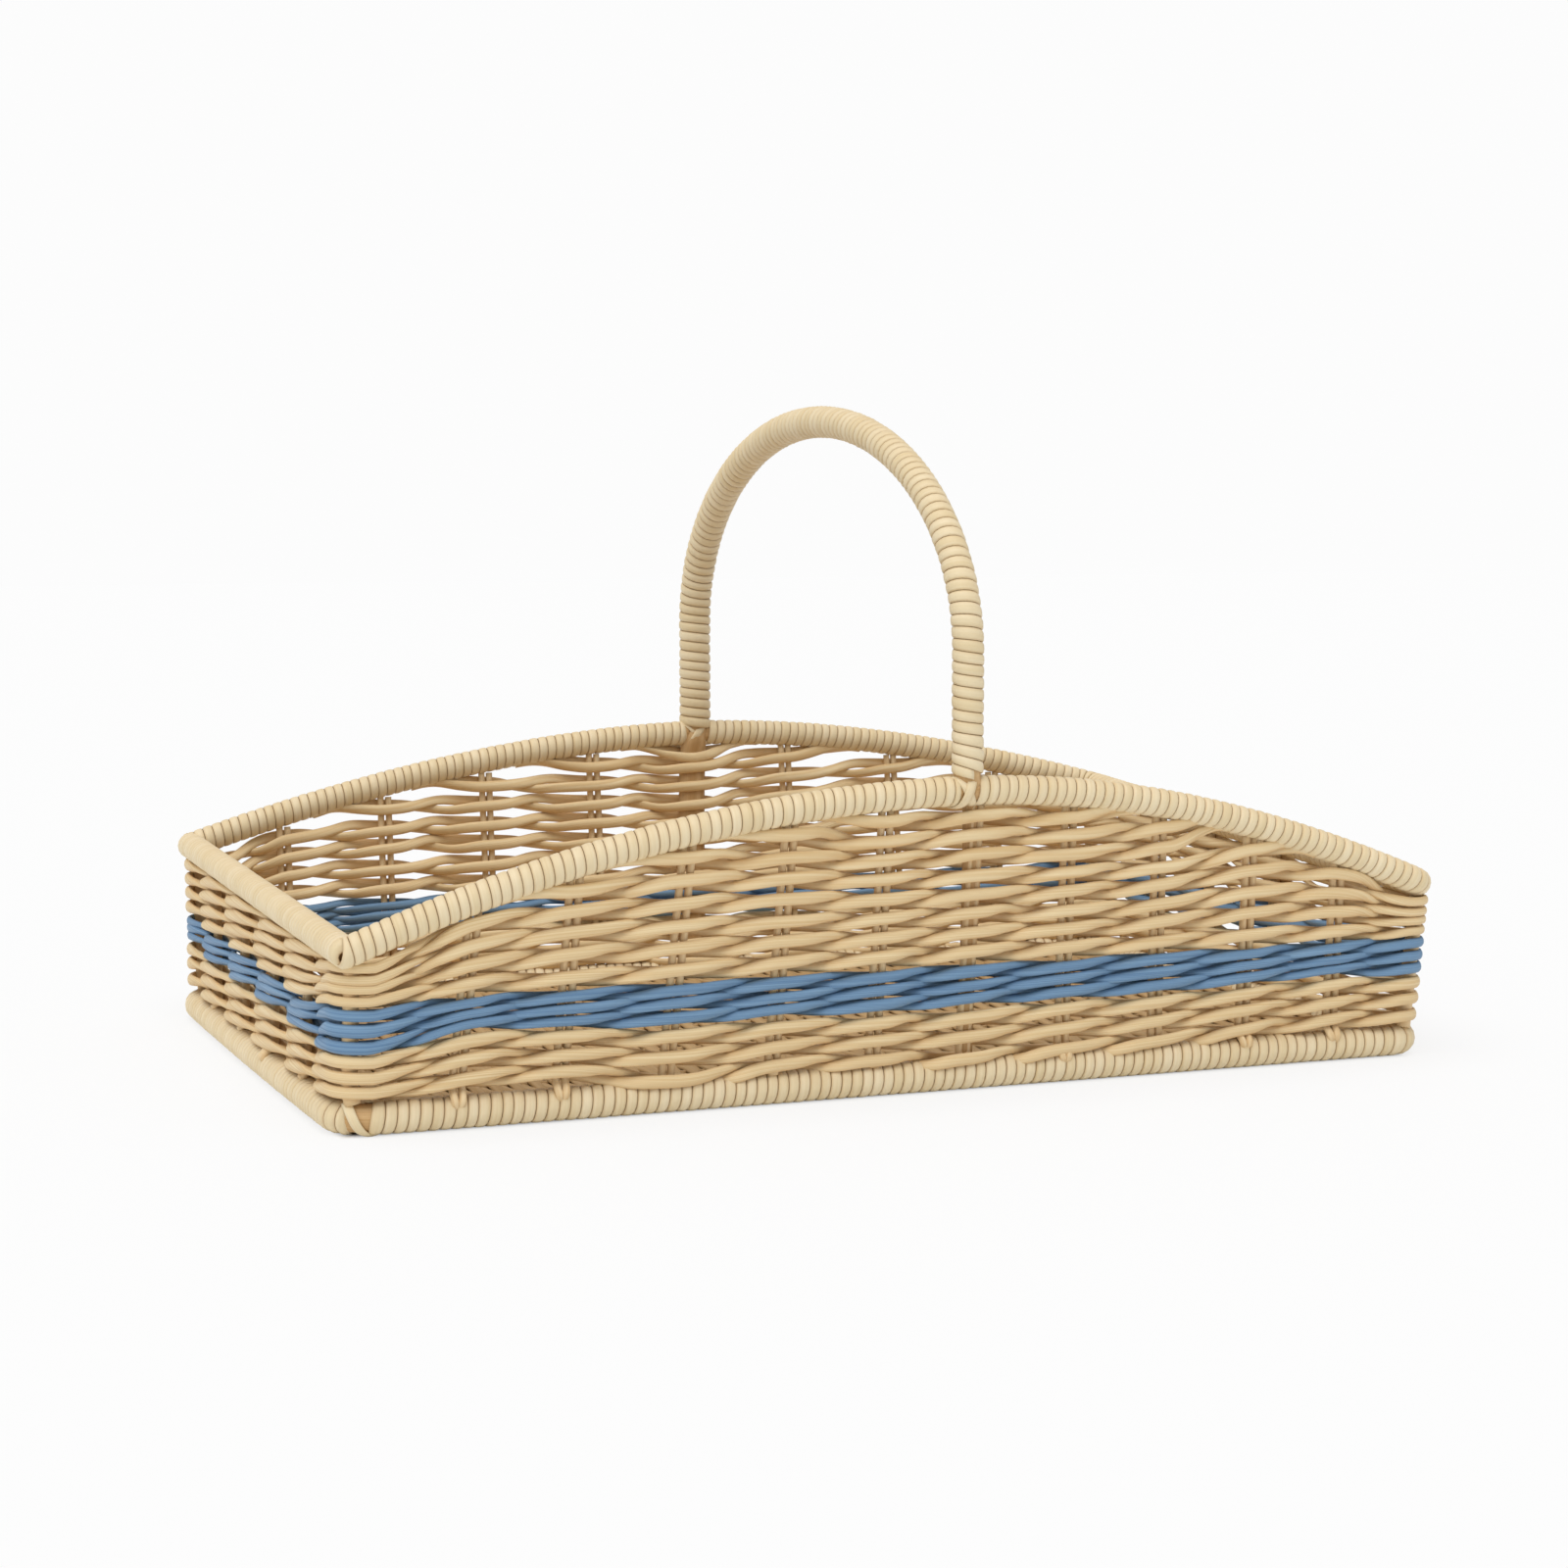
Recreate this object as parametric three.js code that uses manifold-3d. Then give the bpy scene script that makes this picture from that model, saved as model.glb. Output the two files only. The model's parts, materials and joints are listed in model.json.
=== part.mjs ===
// Hand basket of rattan cane: a wrapped base frame, twined walls with a dyed band, a wrapped rim that
// arches up along both sides, and a fixed hoop handle across the middle.
// Millimetres, +Z up. The origin is on the ground under the middle of the basket, +X runs along its
// length and -Y is its front.
import * as THREE from 'three';
import { mergeVertices } from 'three/addons/utils/BufferGeometryUtils.js';
import Module from 'manifold-3d';

// Base frame, a pole bent to a rectangle and wrapped in flat cane
const baseLength = 400;
const baseWidth = 250;
const basePoleRadius = 4.9;
const baseCornerRadius = 8;
const basePanelThickness = 4;
const basePanelCornerRadius = 6;

// Walls, which lean out from the base to the rim
const endLean = 0.5;
const sideLean = 8.5;
const wallCornerRadius = 6;

// Rim, flat at its two ends and arched along its two sides, with the top of the arch at the handle
const rimSideBow = 4;
const rimEndHeight = 65;
const rimArchRise = 42;
const rimPoleRadius = 4.5;
const rimCornerRadius = 7;

// Handle, a round pole bent to a hoop, with its two legs shaved flat where they run down the walls
const handleX = 18;
const handlePoleRadius = 4.6;
const handleStraightTop = 154;
const handleArchRise = 81.5;
const handleArchSteps = 12;
const lashingThickness = 1.2;
const lashingLength = 10.6;

// Flat cane that wraps the poles
const caneThickness = 0.8;

// Stakes, each a thin rod bent double, and one thicker post in each corner
const stakeRadius = 1.35;
const cornerPostRadius = 2.1;
const frontLeftGapCount = 6;
const frontRightGapCount = 5;
const backLeftGapCount = 5;
const backRightGapCount = 4;
const endGapCount = 5;

// Weavers: each row is one cane folded round a stake, its two halves twisted once between the stakes
const weaverThickness = 2.2;
const lowerRows = 3;
const dyedRows = 3;
const upperRows = 4;
const dyedBandHeight = 37;
const dyedRowPitch = 5.2;
const rowClearance = 0.3;
const tailShare = 0.4;

// The first and last stake that each short row passes under the arch, counted from the left
const frontShortRows = [[2, 9], [3, 8], [4, 8], [5, 7]];
const backShortRows = [[2, 8], [3, 7], [3, 6], [4, 6]];

// Clearance between pieces that touch
const fit = 0.3;

// Sizes that follow from those above
const rimLength = baseLength + 2 * endLean;
const rimWidth = baseWidth + 2 * sideLean;
const sides = 8;
const flatShare = Math.cos(Math.PI / sides);
const baseWrapRadius = basePoleRadius + fit + caneThickness;
const rimWrapRadius = rimPoleRadius + fit + caneThickness;
const handleWrapRadius = handlePoleRadius + fit + caneThickness;
const baseHeight = baseWrapRadius * flatShare;
const baseTop = 2 * baseHeight;
const halfWeaver = weaverThickness / 2;
const fullRows = lowerRows + dyedRows + upperRows;
const wallFloor = baseTop + fit;
const endCeiling = rimEndHeight - rimWrapRadius * flatShare - fit;
const dyedBandFloor = dyedBandHeight - (dyedRows * dyedRowPitch) / 2;
const dyedBandCeiling = dyedBandHeight + (dyedRows * dyedRowPitch) / 2;
const leastPitch = (endCeiling - dyedBandCeiling) / upperRows;
const strandHalfHeight = leastPitch / 2 - rowClearance;
const crossingHalfHeight = strandHalfHeight / 2;
const crossingRise = crossingHalfHeight + rowClearance / 2;
const legSpacing = stakeRadius + fit / 2;
const shavedDepth = stakeRadius + fit;

const caneColour = 0xd9c08f;
const bindingColour = 0xe0cc9e;
const stakeColour = 0xc9a878;
const poleColour = 0xb98f5c;
const dyedColour = 0x5484ba;

const wasm = await Module();
wasm.setup();

const basket = new THREE.Group();
const up = new THREE.Vector3(0, 0, 1);
const across = new THREE.Vector3(1, 0, 0);

function addPiece(name, geometry, colour, roughness) {
  geometry.computeVertexNormals();
  const material = new THREE.MeshStandardMaterial({ color: colour, roughness, metalness: 0 });
  const mesh = new THREE.Mesh(geometry, material);
  mesh.name = name;
  basket.add(mesh);
  return mesh;
}

// Wall and rim shapes

// 1 at the handle, falling to 0 at either end of the basket
function archShare(x) {
  const end = x < handleX ? -rimLength / 2 : rimLength / 2;
  const share = Math.min(1, Math.abs((x - handleX) / (end - handleX)));
  return 1 - share * share;
}

function rimHeight(x) {
  return rimEndHeight + rimArchRise * archShare(x);
}

function rimHalfWidth(x) {
  return rimWidth / 2 + rimSideBow * archShare(x);
}

// Height of the wrapped rim's underside over a span round x, less the clearance
function underRim(x, halfSpan) {
  const left = rimHeight(x - halfSpan);
  const right = rimHeight(x + halfSpan);
  const slope = Math.atan2(Math.abs(right - left), 2 * halfSpan);
  return Math.min(left, right) - (rimWrapRadius * flatShare) / Math.cos(slope) - fit;
}

// The walls lean out in straight lines from the middle of the base pole to the middle of the rim pole
function wallHalfWidth(x, height) {
  const share = (height - baseHeight) / (rimHeight(x) - baseHeight);
  return THREE.MathUtils.lerp(baseWidth / 2, rimHalfWidth(x), share);
}

function wallHalfLength(height) {
  const share = (height - baseHeight) / (rimEndHeight - baseHeight);
  return THREE.MathUtils.lerp(baseLength / 2, rimLength / 2, share);
}

// The dyed band and the rows below it are level all round, and the rows above it share the room that is
// left under the rim
function heightInRows(row, rows, ceiling) {
  const dyed = row - lowerRows;
  const upper = dyed - dyedRows;
  if (dyed < 0) return THREE.MathUtils.lerp(wallFloor, dyedBandFloor, (row + 0.5) / lowerRows);
  if (upper < 0) return dyedBandFloor + dyedRowPitch * (dyed + 0.5);
  const upperRowsHere = rows - lowerRows - dyedRows;
  return THREE.MathUtils.lerp(dyedBandCeiling, ceiling, (upper + 0.5) / upperRowsHere);
}

// Meshes made of rings of points

// Joins each ring of points to the next, and closes the two ends, or joins the last ring to the first
function skin(rings, loop) {
  const count = rings[0].length;
  const positions = rings.flat().flatMap((point) => [point.x, point.y, point.z]);
  const faces = [];
  const joints = loop ? rings.length : rings.length - 1;
  for (let ring = 0; ring < joints; ring += 1) {
    const near = ring * count;
    const far = ((ring + 1) % rings.length) * count;
    for (let i = 0; i < count; i += 1) {
      const next = (i + 1) % count;
      faces.push([near + i, near + next, far + next], [near + i, far + next, far + i]);
    }
  }
  if (!loop) {
    const last = (rings.length - 1) * count;
    for (let i = 1; i < count - 1; i += 1) {
      faces.push([0, i + 1, i], [last, last + i, last + i + 1]);
    }
  }
  const geometry = new THREE.BufferGeometry();
  geometry.setAttribute('position', new THREE.Float32BufferAttribute(positions, 3));
  const outward = signedVolume(rings.flat(), faces) > 0;
  geometry.setIndex(faces.flatMap(([a, b, c]) => (outward ? [a, b, c] : [a, c, b])));
  return geometry;
}

function signedVolume(points, faces) {
  const cross = new THREE.Vector3();
  let volume = 0;
  for (const [a, b, c] of faces) {
    volume += cross.crossVectors(points[b], points[c]).dot(points[a]) / 6;
  }
  return volume;
}

function directionAt(path, i, loop) {
  const before = path[i - 1] ?? (loop ? path.at(-1) : null);
  const after = path[i + 1] ?? (loop ? path[0] : null);
  const direction = new THREE.Vector3();
  if (before) direction.add(path[i].clone().sub(before).normalize());
  if (after) direction.add(after.clone().sub(path[i]).normalize());
  return direction.normalize();
}

// A ring of equal facets round every point of a path; with no side given, a facet faces straight down
function roundRings(path, radius, loop, count = sides, side = null) {
  return path.map((point, i) => {
    const along = directionAt(path, i, loop);
    const sideways = side ?? along.clone().cross(up).normalize();
    const upward = sideways.clone().cross(along).normalize();
    const ring = [];
    for (let facet = 0; facet < count; facet += 1) {
      const angle = (2 * Math.PI * (facet + 0.5)) / count;
      const corner = point.clone().addScaledVector(sideways, radius * Math.cos(angle));
      ring.push(corner.addScaledVector(upward, radius * Math.sin(angle)));
    }
    return ring;
  });
}

function poleAlong(path, radius, loop, side = null) {
  return skin(roundRings(path, radius, loop, sides, side), loop);
}

// The flat cane wrapped round a pole, as one sleeve that is open at both ends
function wrapAlong(path, poleRadius, side = null) {
  const inner = roundRings(path, poleRadius + fit, false, sides, side);
  const outer = roundRings(path, poleRadius + fit + caneThickness, false, sides, side);
  return skin([...outer, ...inner.reverse()], true);
}

function solidFrom(geometry) {
  const positionsOnly = geometry.clone();
  positionsOnly.deleteAttribute('normal');
  positionsOnly.deleteAttribute('uv');
  const merged = mergeVertices(positionsOnly);
  return new wasm.Manifold(new wasm.Mesh({
    numProp: 3,
    vertProperties: new Float32Array(merged.attributes.position.array),
    triVerts: new Uint32Array(merged.index.array),
  }));
}

function geometryFrom(solid) {
  const mesh = solid.getMesh();
  const geometry = new THREE.BufferGeometry();
  geometry.setAttribute('position', new THREE.Float32BufferAttribute(mesh.vertProperties, 3));
  geometry.setIndex(new THREE.Uint32BufferAttribute(mesh.triVerts, 1));
  return geometry;
}

// Places of the stakes along the two sides and the two ends

function sidePlaces(leftGapCount, rightGapCount) {
  const left = -baseLength / 2;
  const right = baseLength / 2;
  const places = [];
  for (let i = 1; i <= leftGapCount; i += 1) places.push(left + ((handleX - left) * i) / leftGapCount);
  for (let i = 1; i < rightGapCount; i += 1) places.push(handleX + ((right - handleX) * i) / rightGapCount);
  return places;
}

const frontPlaces = sidePlaces(frontLeftGapCount, frontRightGapCount);
const backPlaces = sidePlaces(backLeftGapCount, backRightGapCount);
const endPlaces = [];
for (let i = 1; i < endGapCount; i += 1) endPlaces.push((2 * i) / endGapCount - 1);

// A stop is a place on the wall that a weaver passes: where it is at a given height, which way is out,
// how far the middle of the weaver stands from it on the outside and on the inside, how many rows pass
// it, and how high they may reach
const besideStake = 1.2 * (stakeRadius + fit + halfWeaver);
const besideHandle = handlePoleRadius + fit + 1.1 * halfWeaver;
const besidePost = 1.11 * (cornerPostRadius + fit + halfWeaver);

function sideStop(x, front, rows) {
  const sign = front ? -1 : 1;
  return {
    at: (height) => new THREE.Vector3(x, sign * wallHalfWidth(x, height), height),
    out: new THREE.Vector3(0, sign, 0),
    outer: besideStake,
    inner: x === handleX ? besideHandle : besideStake,
    rows,
    ceiling: underRim(x, stakeRadius),
  };
}

function endStop(share, right) {
  const sign = right ? 1 : -1;
  const halfWidth = (height) => wallHalfWidth((sign * baseLength) / 2, height);
  return {
    at: (height) => new THREE.Vector3(sign * wallHalfLength(height), share * halfWidth(height), height),
    out: new THREE.Vector3(sign, 0, 0),
    outer: besideStake,
    inner: besideStake,
    rows: fullRows,
    ceiling: endCeiling,
  };
}

// The three stops round a corner, anticlockwise from above: the start, middle and end of the bend
function cornerStops(xSign, ySign) {
  const middleInset = wallCornerRadius * (1 - Math.SQRT1_2);
  const stop = (insetX, insetY, outX, outY) => ({
    at: (height) => new THREE.Vector3(
      xSign * (wallHalfLength(height) - insetX),
      ySign * (wallHalfWidth((xSign * baseLength) / 2, height) - insetY),
      height,
    ),
    out: new THREE.Vector3(outX, outY, 0).normalize(),
    outer: besidePost,
    inner: besidePost,
    rows: fullRows,
    ceiling: endCeiling,
  });
  const alongSide = stop(wallCornerRadius, 0, 0, ySign);
  const alongEnd = stop(0, wallCornerRadius, xSign, 0);
  const middle = stop(middleInset, middleInset, xSign, ySign);
  return xSign === ySign ? [alongEnd, middle, alongSide] : [alongSide, middle, alongEnd];
}

function rowsAtStakes(places, shortRows) {
  const passing = (stake) => shortRows.filter(([first, last]) => first <= stake && stake <= last);
  return places.map((x, i) => fullRows + passing(i + 1).length);
}

// Every stake and corner in turn round the basket, anticlockwise from above, as groups of stops
const frontRows = rowsAtStakes(frontPlaces, frontShortRows);
const backRows = rowsAtStakes(backPlaces, backShortRows);
const frontStops = frontPlaces.map((x, i) => [sideStop(x, true, frontRows[i])]);
const backStops = backPlaces.map((x, i) => [sideStop(x, false, backRows[i])]).reverse();
const rightStops = endPlaces.map((share) => [endStop(share, true)]);
const leftStops = endPlaces.map((share) => [endStop(share, false)]).reverse();
const roundTheBasket = [
  ...leftStops,
  cornerStops(-1, -1),
  ...frontStops,
  cornerStops(1, -1),
  ...rightStops,
  cornerStops(1, 1),
  ...backStops,
  cornerStops(-1, 1),
];
const frontStartIndex = leftStops.length + 1;
const backStartIndex = frontStartIndex + frontStops.length + 1 + rightStops.length + 1;

// Base frame

function basePath() {
  const path = [];
  const steps = 3;
  for (let corner = 0; corner < 4; corner += 1) {
    const xSign = corner === 1 || corner === 2 ? 1 : -1;
    const ySign = corner < 2 ? -1 : 1;
    const centreX = xSign * (baseLength / 2 - baseCornerRadius);
    const centreY = ySign * (baseWidth / 2 - baseCornerRadius);
    for (let step = 0; step <= steps; step += 1) {
      const angle = Math.PI + (Math.PI / 2) * (corner + step / steps);
      path.push(new THREE.Vector3(
        centreX + baseCornerRadius * Math.cos(angle),
        centreY + baseCornerRadius * Math.sin(angle),
        baseHeight,
      ));
    }
  }
  return path;
}

function addBase() {
  const path = basePath();
  addPiece('base_pole', poleAlong(path, basePoleRadius, true), poleColour, 0.7);

  // The wrapping starts and ends in the middle of the back left corner's run
  const seam = path[0].clone();
  const start = seam.clone().setY(path.at(-1).y - baseCornerRadius);
  const end = start.clone().setY(start.y + 2 * fit);
  const wrapPath = [start, ...path, end];
  addPiece('base_binding', wrapAlong(wrapPath, basePoleRadius), bindingColour, 0.55);

  const halfLength = baseLength / 2 - baseWrapRadius - fit;
  const halfWidth = baseWidth / 2 - baseWrapRadius - fit;
  const corner = basePanelCornerRadius;
  const outline = new THREE.Shape();
  outline.absarc(halfLength - corner, halfWidth - corner, corner, 0, Math.PI / 2);
  outline.absarc(corner - halfLength, halfWidth - corner, corner, Math.PI / 2, Math.PI);
  outline.absarc(corner - halfLength, corner - halfWidth, corner, Math.PI, 1.5 * Math.PI);
  outline.absarc(halfLength - corner, corner - halfWidth, corner, 1.5 * Math.PI, 2 * Math.PI);
  const panel = new THREE.ExtrudeGeometry(outline, {
    depth: basePanelThickness,
    bevelEnabled: false,
    curveSegments: 3,
  });
  addPiece('base_weave', panel, caneColour, 0.6).position.z = baseHeight - basePanelThickness / 2;
}

// Rim

// One end of the rim and half of both sides, from the front handle joint round to the back one
function rimHalfPath(right) {
  const sign = right ? 1 : -1;
  const steps = 3;
  const onThisHalf = (x) => (right ? x > handleX : x < handleX);
  const sidePoint = (x, ySign) => new THREE.Vector3(x, ySign * rimHalfWidth(x), rimHeight(x));
  const outwards = (a, b) => sign * (a - b);
  const corner = (ySign, step) => {
    const angle = (Math.PI / 2) * (step / steps);
    const x = sign * (rimLength / 2 - rimCornerRadius + rimCornerRadius * Math.sin(angle));
    const y = rimWidth / 2 - rimCornerRadius + rimCornerRadius * Math.cos(angle);
    return new THREE.Vector3(x, ySign * y, rimHeight(x));
  };
  const path = frontPlaces.filter(onThisHalf).sort(outwards).map((x) => sidePoint(x, -1));
  for (let step = 0; step <= steps; step += 1) path.push(corner(-1, step));
  for (let step = steps; step >= 0; step -= 1) path.push(corner(1, step));
  const back = backPlaces.filter(onThisHalf).sort(outwards).reverse();
  path.push(...back.map((x) => sidePoint(x, 1)));
  return path;
}

function rimPointAtHandle(ySign, offset) {
  const x = handleX + offset;
  return new THREE.Vector3(x, ySign * rimHalfWidth(x), rimHeight(x));
}

// Moves a shape made about the origin to the joint of handle and rim, leaning out as the wall does
function onHandleLeg(geometry, ySign) {
  const halfWidth = rimHalfWidth(handleX);
  const joint = rimHeight(handleX);
  const placed = geometry.clone();
  placed.rotateX(-Math.atan2(halfWidth - baseWidth / 2, joint - baseHeight));
  placed.translate(0, halfWidth, joint);
  if (ySign < 0) placed.rotateZ(Math.PI);
  return placed.translate(handleX, 0, 0);
}

function addRim() {
  const reach = handleWrapRadius + fit;
  const joined = (half, offset) => [
    rimPointAtHandle(-1, offset),
    ...half,
    rimPointAtHandle(1, offset),
  ];
  const left = joined(rimHalfPath(false), -reach);
  const right = joined(rimHalfPath(true), reach);
  const poleLoop = [rimPointAtHandle(-1, 0), ...right, rimPointAtHandle(1, 0), ...left.toReversed()];
  let pole = solidFrom(poleAlong(poleLoop, rimPoleRadius, true));

  // Half-lap notches, cut from the inside, that the shaved legs of the handle pass through
  const notchWidth = 2 * (handlePoleRadius + fit);
  const notchDepth = 3 * rimPoleRadius;
  const notch = new THREE.BoxGeometry(notchWidth, notchDepth, 4 * rimPoleRadius);
  notch.translate(0, fit - shavedDepth - notchDepth / 2, 0);
  for (const ySign of [-1, 1]) pole = pole.subtract(solidFrom(onHandleLeg(notch, ySign)));
  addPiece('rim_pole', geometryFrom(pole), poleColour, 0.7);

  addPiece('rim_binding_left', wrapAlong(left, rimPoleRadius), bindingColour, 0.55);
  addPiece('rim_binding_right', wrapAlong(right, rimPoleRadius), bindingColour, 0.55);
}

// Handle

const handleSeat = rimHeight(handleX) + rimPoleRadius + fit;

function handleHoop(lowest) {
  const halfWidth = rimHalfWidth(handleX);
  const path = lowest.map(([y, z]) => new THREE.Vector3(handleX, -y, z));
  for (let step = 0; step <= handleArchSteps; step += 1) {
    const angle = (Math.PI * step) / handleArchSteps;
    const z = handleStraightTop + handleArchRise * Math.sin(angle);
    path.push(new THREE.Vector3(handleX, -halfWidth * Math.cos(angle), z));
  }
  path.push(...lowest.toReversed().map(([y, z]) => new THREE.Vector3(handleX, y, z)));
  return path;
}

function addHandle() {
  const halfWidth = rimHalfWidth(handleX);
  const joint = rimHeight(handleX);
  const footHalfWidth = wallHalfWidth(handleX, wallFloor);
  const polePath = handleHoop([[footHalfWidth, wallFloor], [halfWidth, joint]]);
  let pole = solidFrom(poleAlong(polePath, handlePoleRadius, false, across));

  // The outer part of each leg is shaved away below its seat on the rim pole
  const shavingWidth = 4 * handlePoleRadius;
  const shaving = new THREE.BoxGeometry(shavingWidth, shavingWidth, 2 * handleSeat);
  shaving.translate(0, shavingWidth / 2 - shavedDepth, -joint);
  for (const ySign of [-1, 1]) pole = pole.subtract(solidFrom(onHandleLeg(shaving, ySign)));
  addPiece('handle_pole', geometryFrom(pole), poleColour, 0.7);

  const wrapPath = handleHoop([[halfWidth, handleSeat + fit]]);
  addPiece('handle_binding', wrapAlong(wrapPath, handlePoleRadius, across), bindingColour, 0.55);

  // Flat cane lashed over the joint, round the outer side of the rim pole
  const inner = rimPoleRadius + fit;
  const outer = inner + lashingThickness;
  const start = -Math.PI / 3;
  const end = Math.PI / 5;
  const band = new THREE.Shape();
  band.absarc(0, 0, outer, start, end, false);
  band.absarc(0, 0, inner, end, start, true);
  for (const [name, turn] of [['handle_lashing_front', -1], ['handle_lashing_back', 1]]) {
    const geometry = new THREE.ExtrudeGeometry(band, {
      depth: lashingLength,
      bevelEnabled: false,
      curveSegments: 5,
    });
    geometry.translate(0, 0, -lashingLength / 2);
    geometry.applyMatrix4(new THREE.Matrix4().makeBasis(
      new THREE.Vector3(0, turn, 0),
      up,
      new THREE.Vector3(turn, 0, 0),
    ));
    addPiece(name, geometry, bindingColour, 0.55).position.set(handleX, turn * halfWidth, joint);
  }
}

// Stakes and corner posts

function stakeSkin(stop, along, legTops) {
  const foot = wallFloor + stakeRadius;
  const point = (side, height) => stop.at(height).addScaledVector(along, side * legSpacing);
  const path = [
    point(-1, legTops[0]),
    point(-1, foot + legSpacing),
    point(0, foot),
    point(1, foot + legSpacing),
    point(1, legTops[1]),
  ];
  return skin(roundRings(path, stakeRadius, false, 6, stop.out), false);
}

function addSideStakes(name, places, front) {
  places.forEach((x, i) => {
    const tops = [-1, 1].map((side) => underRim(x + side * legSpacing, stakeRadius));
    const stop = sideStop(x, front, fullRows);
    addPiece(`${name}_${i + 1}`, stakeSkin(stop, across, tops), stakeColour, 0.6);
  });
}

function addEndStakes(name, right) {
  const along = new THREE.Vector3(0, 1, 0);
  const tops = [endCeiling, endCeiling];
  endPlaces.forEach((share, i) => {
    addPiece(`${name}_${i + 1}`, stakeSkin(endStop(share, right), along, tops), stakeColour, 0.6);
  });
}

function addCornerPost(name, xSign, ySign) {
  const middle = cornerStops(xSign, ySign)[1];
  const path = [middle.at(wallFloor), middle.at(endCeiling)];
  addPiece(name, skin(roundRings(path, cornerPostRadius, false, 6, across), false), stakeColour, 0.6);
}

// Weavers

function groupAt(index) {
  const count = roundTheBasket.length;
  return roundTheBasket[(index + count) % count];
}

function heightAt(stop, row) {
  return heightInRows(row, stop.rows, stop.ceiling);
}

// Height of a row on its way from one stop to the next; the rows that end there fan out under the rim
function heightBetween(from, to, row, share) {
  if (row < to.rows) return THREE.MathUtils.lerp(heightAt(from, row), heightAt(to, row), share);
  const tailX = THREE.MathUtils.lerp(from.at(wallFloor).x, to.at(wallFloor).x, tailShare);
  const lastThrough = to.rows - 1;
  const below = heightBetween(from, to, lastThrough, tailShare);
  const step = (underRim(tailX, stakeRadius) - below) / (from.rows - lastThrough);
  const tailHeight = below + step * (row - lastThrough);
  return THREE.MathUtils.lerp(heightAt(from, row), tailHeight, share / tailShare);
}

// One section of a weaver at a stop: where its middle is, and how high it stands there
function sectionAt(stop, row, outside) {
  const offset = outside ? stop.outer : -stop.inner;
  const point = stop.at(heightAt(stop, row)).addScaledVector(stop.out, offset);
  return { point, halfHeight: strandHalfHeight };
}

// A section on the way to the next stop. Halfway, where the share is a half, the two halves of a weaver
// change sides, and the one that goes in lies on the one that comes out
function sectionBetween(from, to, row, share, outside) {
  const twist = 2 * share;
  const side = outside ? 1 : -1;
  const height = heightBetween(from, to, row, share);
  const point = from.at(height).lerp(to.at(height), share);
  point.addScaledVector(from.out, side * (1 - twist) * (outside ? from.outer : from.inner));
  point.z += side * crossingRise * twist;
  return { point, halfHeight: THREE.MathUtils.lerp(strandHalfHeight, crossingHalfHeight, twist) };
}

// One half of a doubled weaver past a run of stakes, ending short of the crossing after the last one
function halfWeaverPath(start, count, row, startsOutside) {
  const path = [];
  for (let i = 0; i < count; i += 1) {
    const stops = groupAt(start + i);
    const outside = startsOutside === (i % 2 === 0);
    const share = i < count - 1 ? 0.5 : tailShare;
    stops.forEach((stop) => path.push(sectionAt(stop, row, outside)));
    path.push(sectionBetween(stops.at(-1), groupAt(start + i + 1)[0], row, share, outside));
  }
  return path;
}

// The fold goes round the stake that the row starts from, on the side away from the row
function foldPath(start, row) {
  const stop = groupAt(start)[0];
  const before = groupAt(start - 1).at(-1);
  const gap = stop.at(wallFloor).distanceTo(before.at(wallFloor));
  const back = stop.out.clone().cross(up);
  return [-45, 0, 45].map((degrees) => {
    const angle = THREE.MathUtils.degToRad(degrees);
    const reach = legSpacing + besideStake * Math.cos(angle);
    const height = heightBetween(stop, before, row, reach / gap);
    const point = stop.at(height).addScaledVector(back, reach);
    const offset = degrees < 0 ? stop.inner : stop.outer;
    point.addScaledVector(stop.out, offset * Math.sin(angle));
    return { point, halfHeight: strandHalfHeight };
  });
}

// A whole weaver, folded round its first stake, with a section of four corners
function weaverSkin(start, count, row) {
  const outsideHalf = halfWeaverPath(start, count, row, true);
  const insideHalf = halfWeaverPath(start, count, row, false);
  const path = [...insideHalf.reverse(), ...foldPath(start, row), ...outsideHalf];
  const points = path.map((section) => section.point);
  const rings = path.map(({ point, halfHeight }, i) => {
    const level = directionAt(points, i, false).setZ(0).normalize();
    const sideways = level.cross(up).multiplyScalar(halfWeaver);
    const rise = up.clone().multiplyScalar(halfHeight);
    return [
      point.clone().add(sideways),
      point.clone().add(rise),
      point.clone().sub(sideways),
      point.clone().sub(rise),
    ];
  });
  return skin(rings, false);
}

// Full rows start from a different stake each time, so that their folds don't stand in one line
function addFullRows() {
  for (let row = 0; row < fullRows; row += 1) {
    const dyed = row >= lowerRows && row < lowerRows + dyedRows;
    const number = String(row + 1).padStart(2, '0');
    const start = 1 + (row % 2);
    const geometry = weaverSkin(start, roundTheBasket.length, row);
    addPiece(`row_${number}_${dyed ? 'dyed' : 'natural'}`, geometry, dyed ? dyedColour : caneColour, 0.55);
  }
}

function addShortRows() {
  frontShortRows.forEach(([first, last], i) => {
    const geometry = weaverSkin(frontStartIndex + first - 1, last - first + 1, fullRows + i);
    addPiece(`short_row_front_${i + 1}`, geometry, caneColour, 0.55);
  });
  backShortRows.forEach(([first, last], i) => {
    const start = backStartIndex + backStops.length - last;
    const geometry = weaverSkin(start, last - first + 1, fullRows + i);
    addPiece(`short_row_back_${i + 1}`, geometry, caneColour, 0.55);
  });
}

addBase();
addRim();
addHandle();
addSideStakes('stake_front', frontPlaces, true);
addSideStakes('stake_back', backPlaces, false);
addEndStakes('stake_left', false);
addEndStakes('stake_right', true);
addCornerPost('corner_post_front_left', -1, -1);
addCornerPost('corner_post_front_right', 1, -1);
addCornerPost('corner_post_back_right', 1, 1);
addCornerPost('corner_post_back_left', -1, 1);
addFullRows();
addShortRows();

export default basket;
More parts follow.
